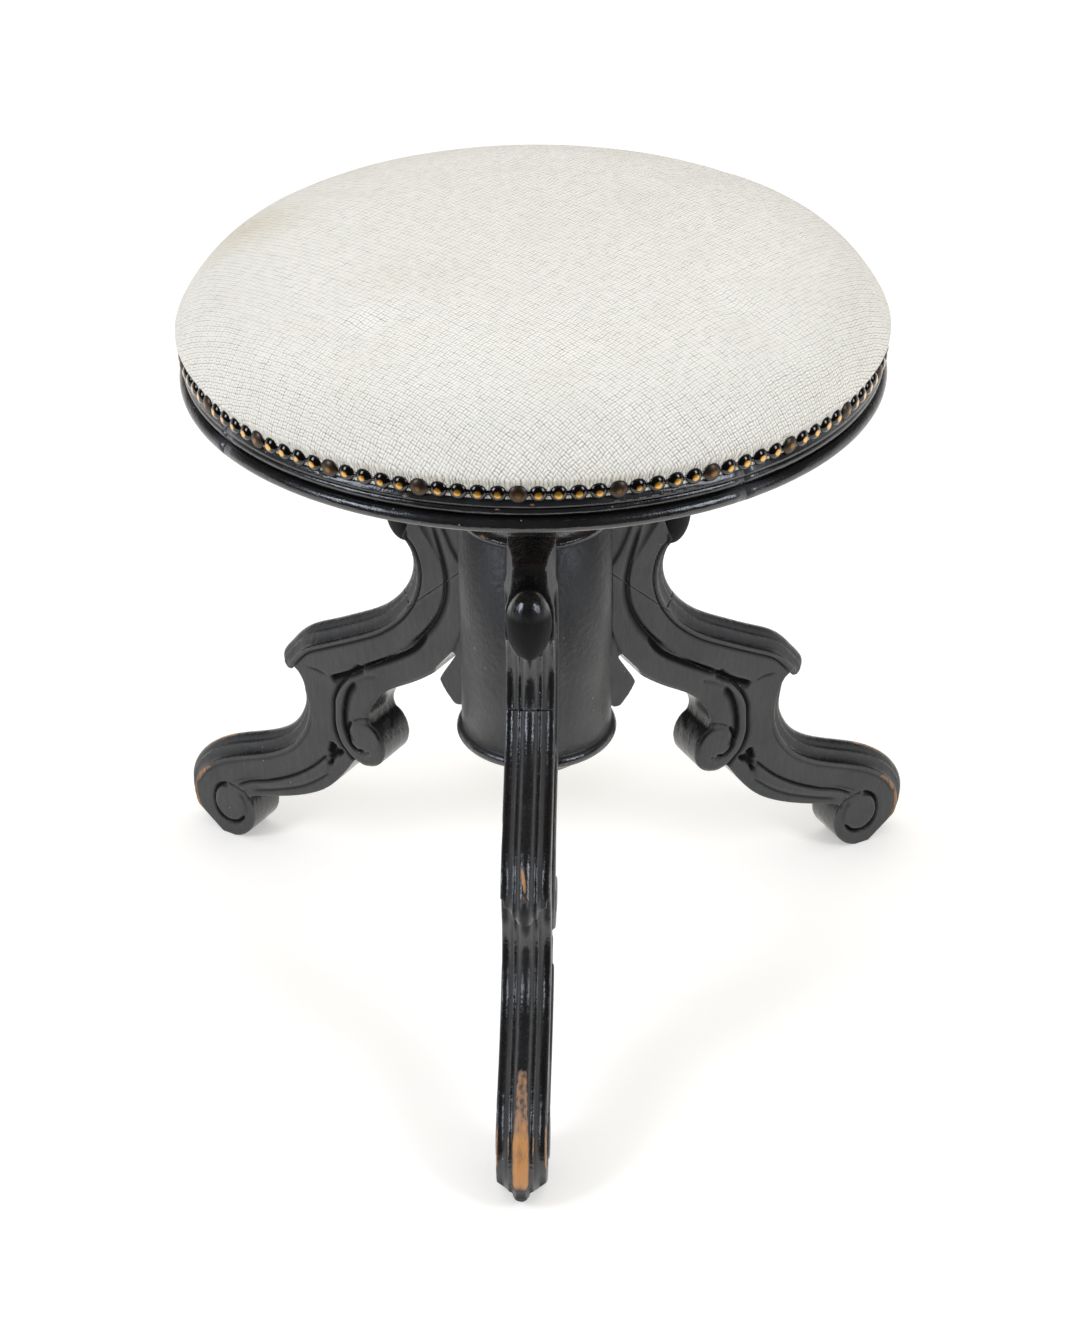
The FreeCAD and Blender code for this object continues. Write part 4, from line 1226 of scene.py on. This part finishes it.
@dataclass
class NailTrim:
    """The pressed strip of domed heads, with a real nail in every fifth place."""

    places: int = 120
    nail_every: int = 5
    head_radius: float = 4.7 * MM
    head_height: float = 2.5 * MM
    back: float = 197.3 * MM
    height: float = 419.8 * MM
    points_round: int = 18
    dome: tuple[float, ...] = (0.97, 0.88, 0.72, 0.50, 0.26)

    def make(self) -> list[str]:
        """Builds and dresses the strip and the nails.

        Returns:
            The nodes that they stand for.
        """
        strip = self.heads([i for i in range(self.places) if i % self.nail_every], self.head_radius,
                           self.head_height, self.back + 0.3 * MM, "domed_heads")
        strip = joined([strip, self.linking_band()], "trim_strip")
        nails = self.heads(range(0, self.places, self.nail_every), self.head_radius + 0.4 * MM,
                           self.head_height - 0.4 * MM, self.back + 0.8 * MM, "trim_nail_heads")
        dull = AntiqueHeads(name="worn_bronze_nails", plating="#4a4037", brass="#8a6430", rub_share=0.30,
                            lacquer=0.15, polish=0.46)
        dress(strip, AntiqueHeads().build(), Body.SEAT.value, ["nail_strip"])
        dress(nails, dull.build(), Body.SEAT.value, ["trim_nails"])
        return ["nail_strip", "trim_nails"]

    def heads(self, at: Iterable[int], radius: float, height: float, back: float, name: str) -> Piece:
        """Models one domed head and sets copies of it round the seat.

        Args:
            at: The places that get a head.
            radius: The head's radius.
            height: How far its crown stands out.
            back: Distance of its rim from the seat's axis.
            name: The joined piece's name.

        Returns:
            All the heads as one piece.
        """
        bpy.ops.object.select_all(action="DESELECT")
        bpy.ops.mesh.primitive_circle_add(vertices=self.points_round, radius=radius, fill_type="NGON",
                                          location=(0, 0, 0), enter_editmode=True)
        head = bpy.context.active_object
        bpy.ops.mesh.select_all(action="SELECT")
        last, lift = 1.0, 0.0
        for share in self.dome:
            rise = height * (1 - share ** 2.4) ** 0.75
            bpy.ops.mesh.extrude_region_move(TRANSFORM_OT_translate={"value": (0, 0, rise - lift)})
            bpy.ops.transform.resize(value=(share / last, share / last, 1), center_override=(0, 0, 0))
            last, lift = share, rise
        bpy.ops.mesh.poke(offset=height - lift)
        bpy.ops.mesh.select_all(action="SELECT")
        bpy.ops.mesh.normals_make_consistent(inside=False)
        bpy.ops.object.mode_set(mode="OBJECT")
        x, y, _ = rows(head.data, "co").T
        note(head.data, "share", np.minimum(np.hypot(x, y) / radius, 1.0))
        upright = Matrix.Translation((back, 0, 0)) @ Matrix.Rotation(math.pi / 2, 4, "Y")
        copies = []
        for place in at:
            mesh = head.data.copy()
            turn = Matrix.Rotation(math.radians(place * 360 / self.places), 4, "Z")
            mesh.transform(Matrix.Translation((0, AXIS_Y, self.height)) @ turn @ upright)
            copies.append(linked(f"{name}_{place}", mesh))
        bpy.data.objects.remove(head)
        return joined(copies, name)

    def linking_band(self) -> Piece:
        """Models the thin band that links the heads.

        Returns:
            The band.
        """
        bpy.ops.object.select_all(action="DESELECT")
        bpy.ops.mesh.primitive_cylinder_add(vertices=240, radius=self.back + 0.25 * MM, depth=2.6 * MM,
                                            end_fill_type="NOTHING", location=(0, AXIS_Y, self.height))
        piece = bpy.context.active_object
        settle(piece)
        finish_modifier(piece, "SOLIDIFY", thickness=0.45 * MM, offset=0.0)
        note(piece.data, "share", np.ones(len(piece.data.vertices)))
        return piece


# Pieces of the model that keep their shape


@dataclass
class KeptPieces:
    """Turned and cast pieces whose solids are right, shown with smooth faces and their own finish.

    A spot is where paint is knocked off: its place and its radius, in millimetres.
    """

    frame: dict
    crease_degrees: float = 28.0
    foot_bead_top: float = 158.5 * MM
    top_bead_foot: float = 303.0 * MM
    column_spots: tuple[tuple[float, float, float, float], ...] = (
        (-29.0, 0.0, 304.5, 6.0), (-36.0, 4.0, 156.0, 3.4), (19.0, -9.0, 156.0, 3.4))
    ring_spots: tuple[tuple[float, float, float, float], ...] = (
        (-59.1, -153.6, 413.0, 3.6), (-11.0, -162.5, 410.4, 3.2), (6.9, -162.8, 413.4, 3.4),
        (-105.8, -133.5, 402.6, 3.0), (62.1, -151.5, 411.0, 3.0))

    def finishes(self) -> dict[str, bpy.types.Material]:
        """Makes one material for each slot of the record, and one for the seat's ring.

        Returns:
            The materials by slot.
        """
        return {
            "black_wood": EbonisedWood(name="ebonised_turning", turned=True, spots=self.column_spots).build(),
            "ring": EbonisedWood(name="ebonised_ring", turned=True, polish=0.22, dust=0.45,
                                 spots=self.ring_spots).build(),
            "bare_wood": BareWood().build(),
            "brass": Metal(name="cast_brass", colour="#b99350", stain="#7a5c2c", polish=0.30).build(),
            "steel": Metal().build(),
            "cast_iron": Metal(name="black_cast_iron", colour="#3b3b3d", stain="#25211e", polish=0.52,
                               mark_mm=1.2).build(),
            "sacking": Hessian().build(),
        }

    def make(self, done: Iterable[str]) -> None:
        """Dresses every node that no other piece stands for.

        Args:
            done: The nodes that are already replaced.
        """
        finishes = self.finishes()
        slots = {part["node"]: part["material_slot"] for part in self.frame["record"]["subparts"]}
        bodies = self.frame["record"]["behaviour"]["bodies"]
        for name, node in self.frame["nodes"].items():
            if name in done:
                continue
            piece = merged_copy(node, f"{name}_smooth")
            ring = name.startswith("ring_segment")
            if slots[name] == "black_wood":
                wear(piece, lambda points, proud: 0.29 * np.clip((proud - 0.05) / 0.3, 0.0, 1.0))
                height = rows(piece.data, "co")[:, 2]
                beads = (height < self.foot_bead_top) | (height > self.top_bead_foot)
                note(piece.data, "polished", np.where(ring | beads, 1.0, 0.0))
            body = next(label for label, members in bodies.items() if name in members)
            finish = finishes["ring" if ring else slots[name]]
            dress(piece, finish, body, [name], self.crease_degrees)


# Studio


@dataclass
class Studio:
    """White sweep, soft window light and the camera."""

    eye: tuple[float, float, float] = (67.1 * MM, -1556.0 * MM, 1164.9 * MM)
    yaw_degrees: float = 2.33
    down_degrees: float = 31.2
    roll_degrees: float = -0.48
    focal_pixels: float = 3097.0
    picture_height: float = 1322.0
    floor_size: float = 8.0
    floor_end: float = -0.68
    floor_seen: float = 0.36
    floor_mirrored: float = 0.62
    paper: str = "#efebe3"
    window_size: tuple[float, float] = (0.62, 0.95)
    windows: tuple[tuple[str, tuple[float, float, float], float, str], ...] = (
        ("window_left", (-1.50, -0.96, 1.34), 19.0, "#e7efff"),
        ("window_right", (1.52, -0.94, 1.34), 16.0, "#ebf2ff"))

    def make(self) -> None:
        """Builds floor, world, lights and camera."""
        self.floor()
        self.world()
        self.lights()
        self.camera()

    def floor(self) -> None:
        """Lays a white sheet of paper that keeps the stool's soft shadow and ends a little before it."""
        bpy.ops.object.select_all(action="DESELECT")
        bpy.ops.mesh.primitive_plane_add(size=self.floor_size,
                                         location=(0, self.floor_end + self.floor_size / 2, -0.0002))
        floor = bpy.context.active_object
        floor.name = "floor"
        settle(floor)
        material = bpy.data.materials.new("white_paper_floor")
        material.use_nodes = True
        tree = material.node_tree
        tree.nodes.clear()
        path = put(tree, "LightPath")
        seen = put(tree, "Math", (path["Is Camera Ray"], path["Is Transmission Ray"]), operation="MAXIMUM")[0]
        seen = put(tree, "Math", (seen, self.floor_seen), operation="MULTIPLY")[0]
        glow = put(tree, "Math", (path["Is Glossy Ray"], self.floor_mirrored, seen),
                   operation="MULTIPLY_ADD")[0]
        paper = put(tree, "BsdfDiffuse", {"Color": linear(self.paper)})[0]
        light = put(tree, "Emission", {"Color": (1, 1, 1, 1), "Strength": glow})[0]
        put(tree, "OutputMaterial", {"Surface": put(tree, "AddShader", (paper, light))[0]})
        floor.data.materials.append(material)

    def world(self) -> None:
        """A pale fill from above, a dark room with a pale back wall in the gloss, white to the camera."""
        world = bpy.data.worlds.new("studio")
        bpy.context.scene.world = world
        world.use_nodes = True
        tree = world.node_tree
        tree.nodes.clear()
        _, back, up = put(tree, "SeparateXYZ", (put(tree, "TexCoord")["Generated"],))
        low = put(tree, "MapRange", (up, 0.02, 0.45, 0.9, 0.0), interpolation_type="SMOOTHSTEP")[0]
        behind = put(tree, "MapRange", (back, -0.1, 0.4), interpolation_type="SMOOTHSTEP")[0]
        wall = put(tree, "Math", (low, behind, 0.06), operation="MULTIPLY_ADD")[0]
        fill = put(tree, "MapRange", (up, -0.1, 0.9, 0.42, 0.88))[0]
        side = put(tree, "MapRange", (back, -0.9, 0.9, 0.62, 1.30))[0]
        strength = put(tree, "Math", (fill, side), operation="MULTIPLY")[0]
        path = put(tree, "LightPath")
        for ray, light in (("Is Glossy Ray", wall), ("Is Camera Ray", 1.0)):
            strength = put(tree, "Mix", {0: path[ray], 2: strength, 3: light})[0]
        background = put(tree, "Background", {"Color": (1, 1, 1, 1), "Strength": strength})[0]
        put(tree, "OutputWorld", {"Surface": background})

    def lights(self) -> None:
        """Sets two tall window-like lights, left and right of the camera."""
        target = Vector((0, AXIS_Y, 0.30))
        for name, place, power, colour in self.windows:
            data = bpy.data.lights.new(name, "AREA")
            data.shape = "RECTANGLE"
            data.size, data.size_y = self.window_size
            data.energy = power
            data.color = linear(colour)[:3]
            lamp = linked(name, data)
            lamp.location = place
            lamp.rotation_euler = (target - Vector(place)).to_track_quat("-Z", "Y").to_euler()

    def camera(self) -> None:
        """Sets the camera at the photograph's place and angle."""
        yaw, down, roll = (math.radians(a) for a in (self.yaw_degrees, self.down_degrees, self.roll_degrees))
        ahead = Vector((-math.sin(yaw) * math.cos(down), math.cos(yaw) * math.cos(down), -math.sin(down)))
        level = ahead.cross(Vector((0, 0, 1))).normalized()
        above = level.cross(ahead)
        right = level * math.cos(roll) + above * math.sin(roll)
        above = above * math.cos(roll) - level * math.sin(roll)
        data = bpy.data.cameras.new("camera")
        data.sensor_width = 36.0
        data.lens = self.focal_pixels / self.picture_height * data.sensor_width
        data.clip_start = 0.05
        camera = linked("camera", data)
        turn = Matrix((right, above, -ahead)).transposed().to_4x4()
        camera.matrix_world = Matrix.Translation(self.eye) @ turn
        bpy.context.scene.camera = camera


def main() -> None:
    """Builds the stool's looks in order and reports each piece."""
    logging.basicConfig(level=logging.INFO, format="%(name)s: %(message)s")
    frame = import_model()
    Studio().make()
    done = Stand(frame).make() + Cushion().make() + NailTrim().make()
    KeptPieces(frame).make(done)
    bpy.context.scene.view_settings.view_transform = "Standard"


if __name__ == "__main__":
    main()
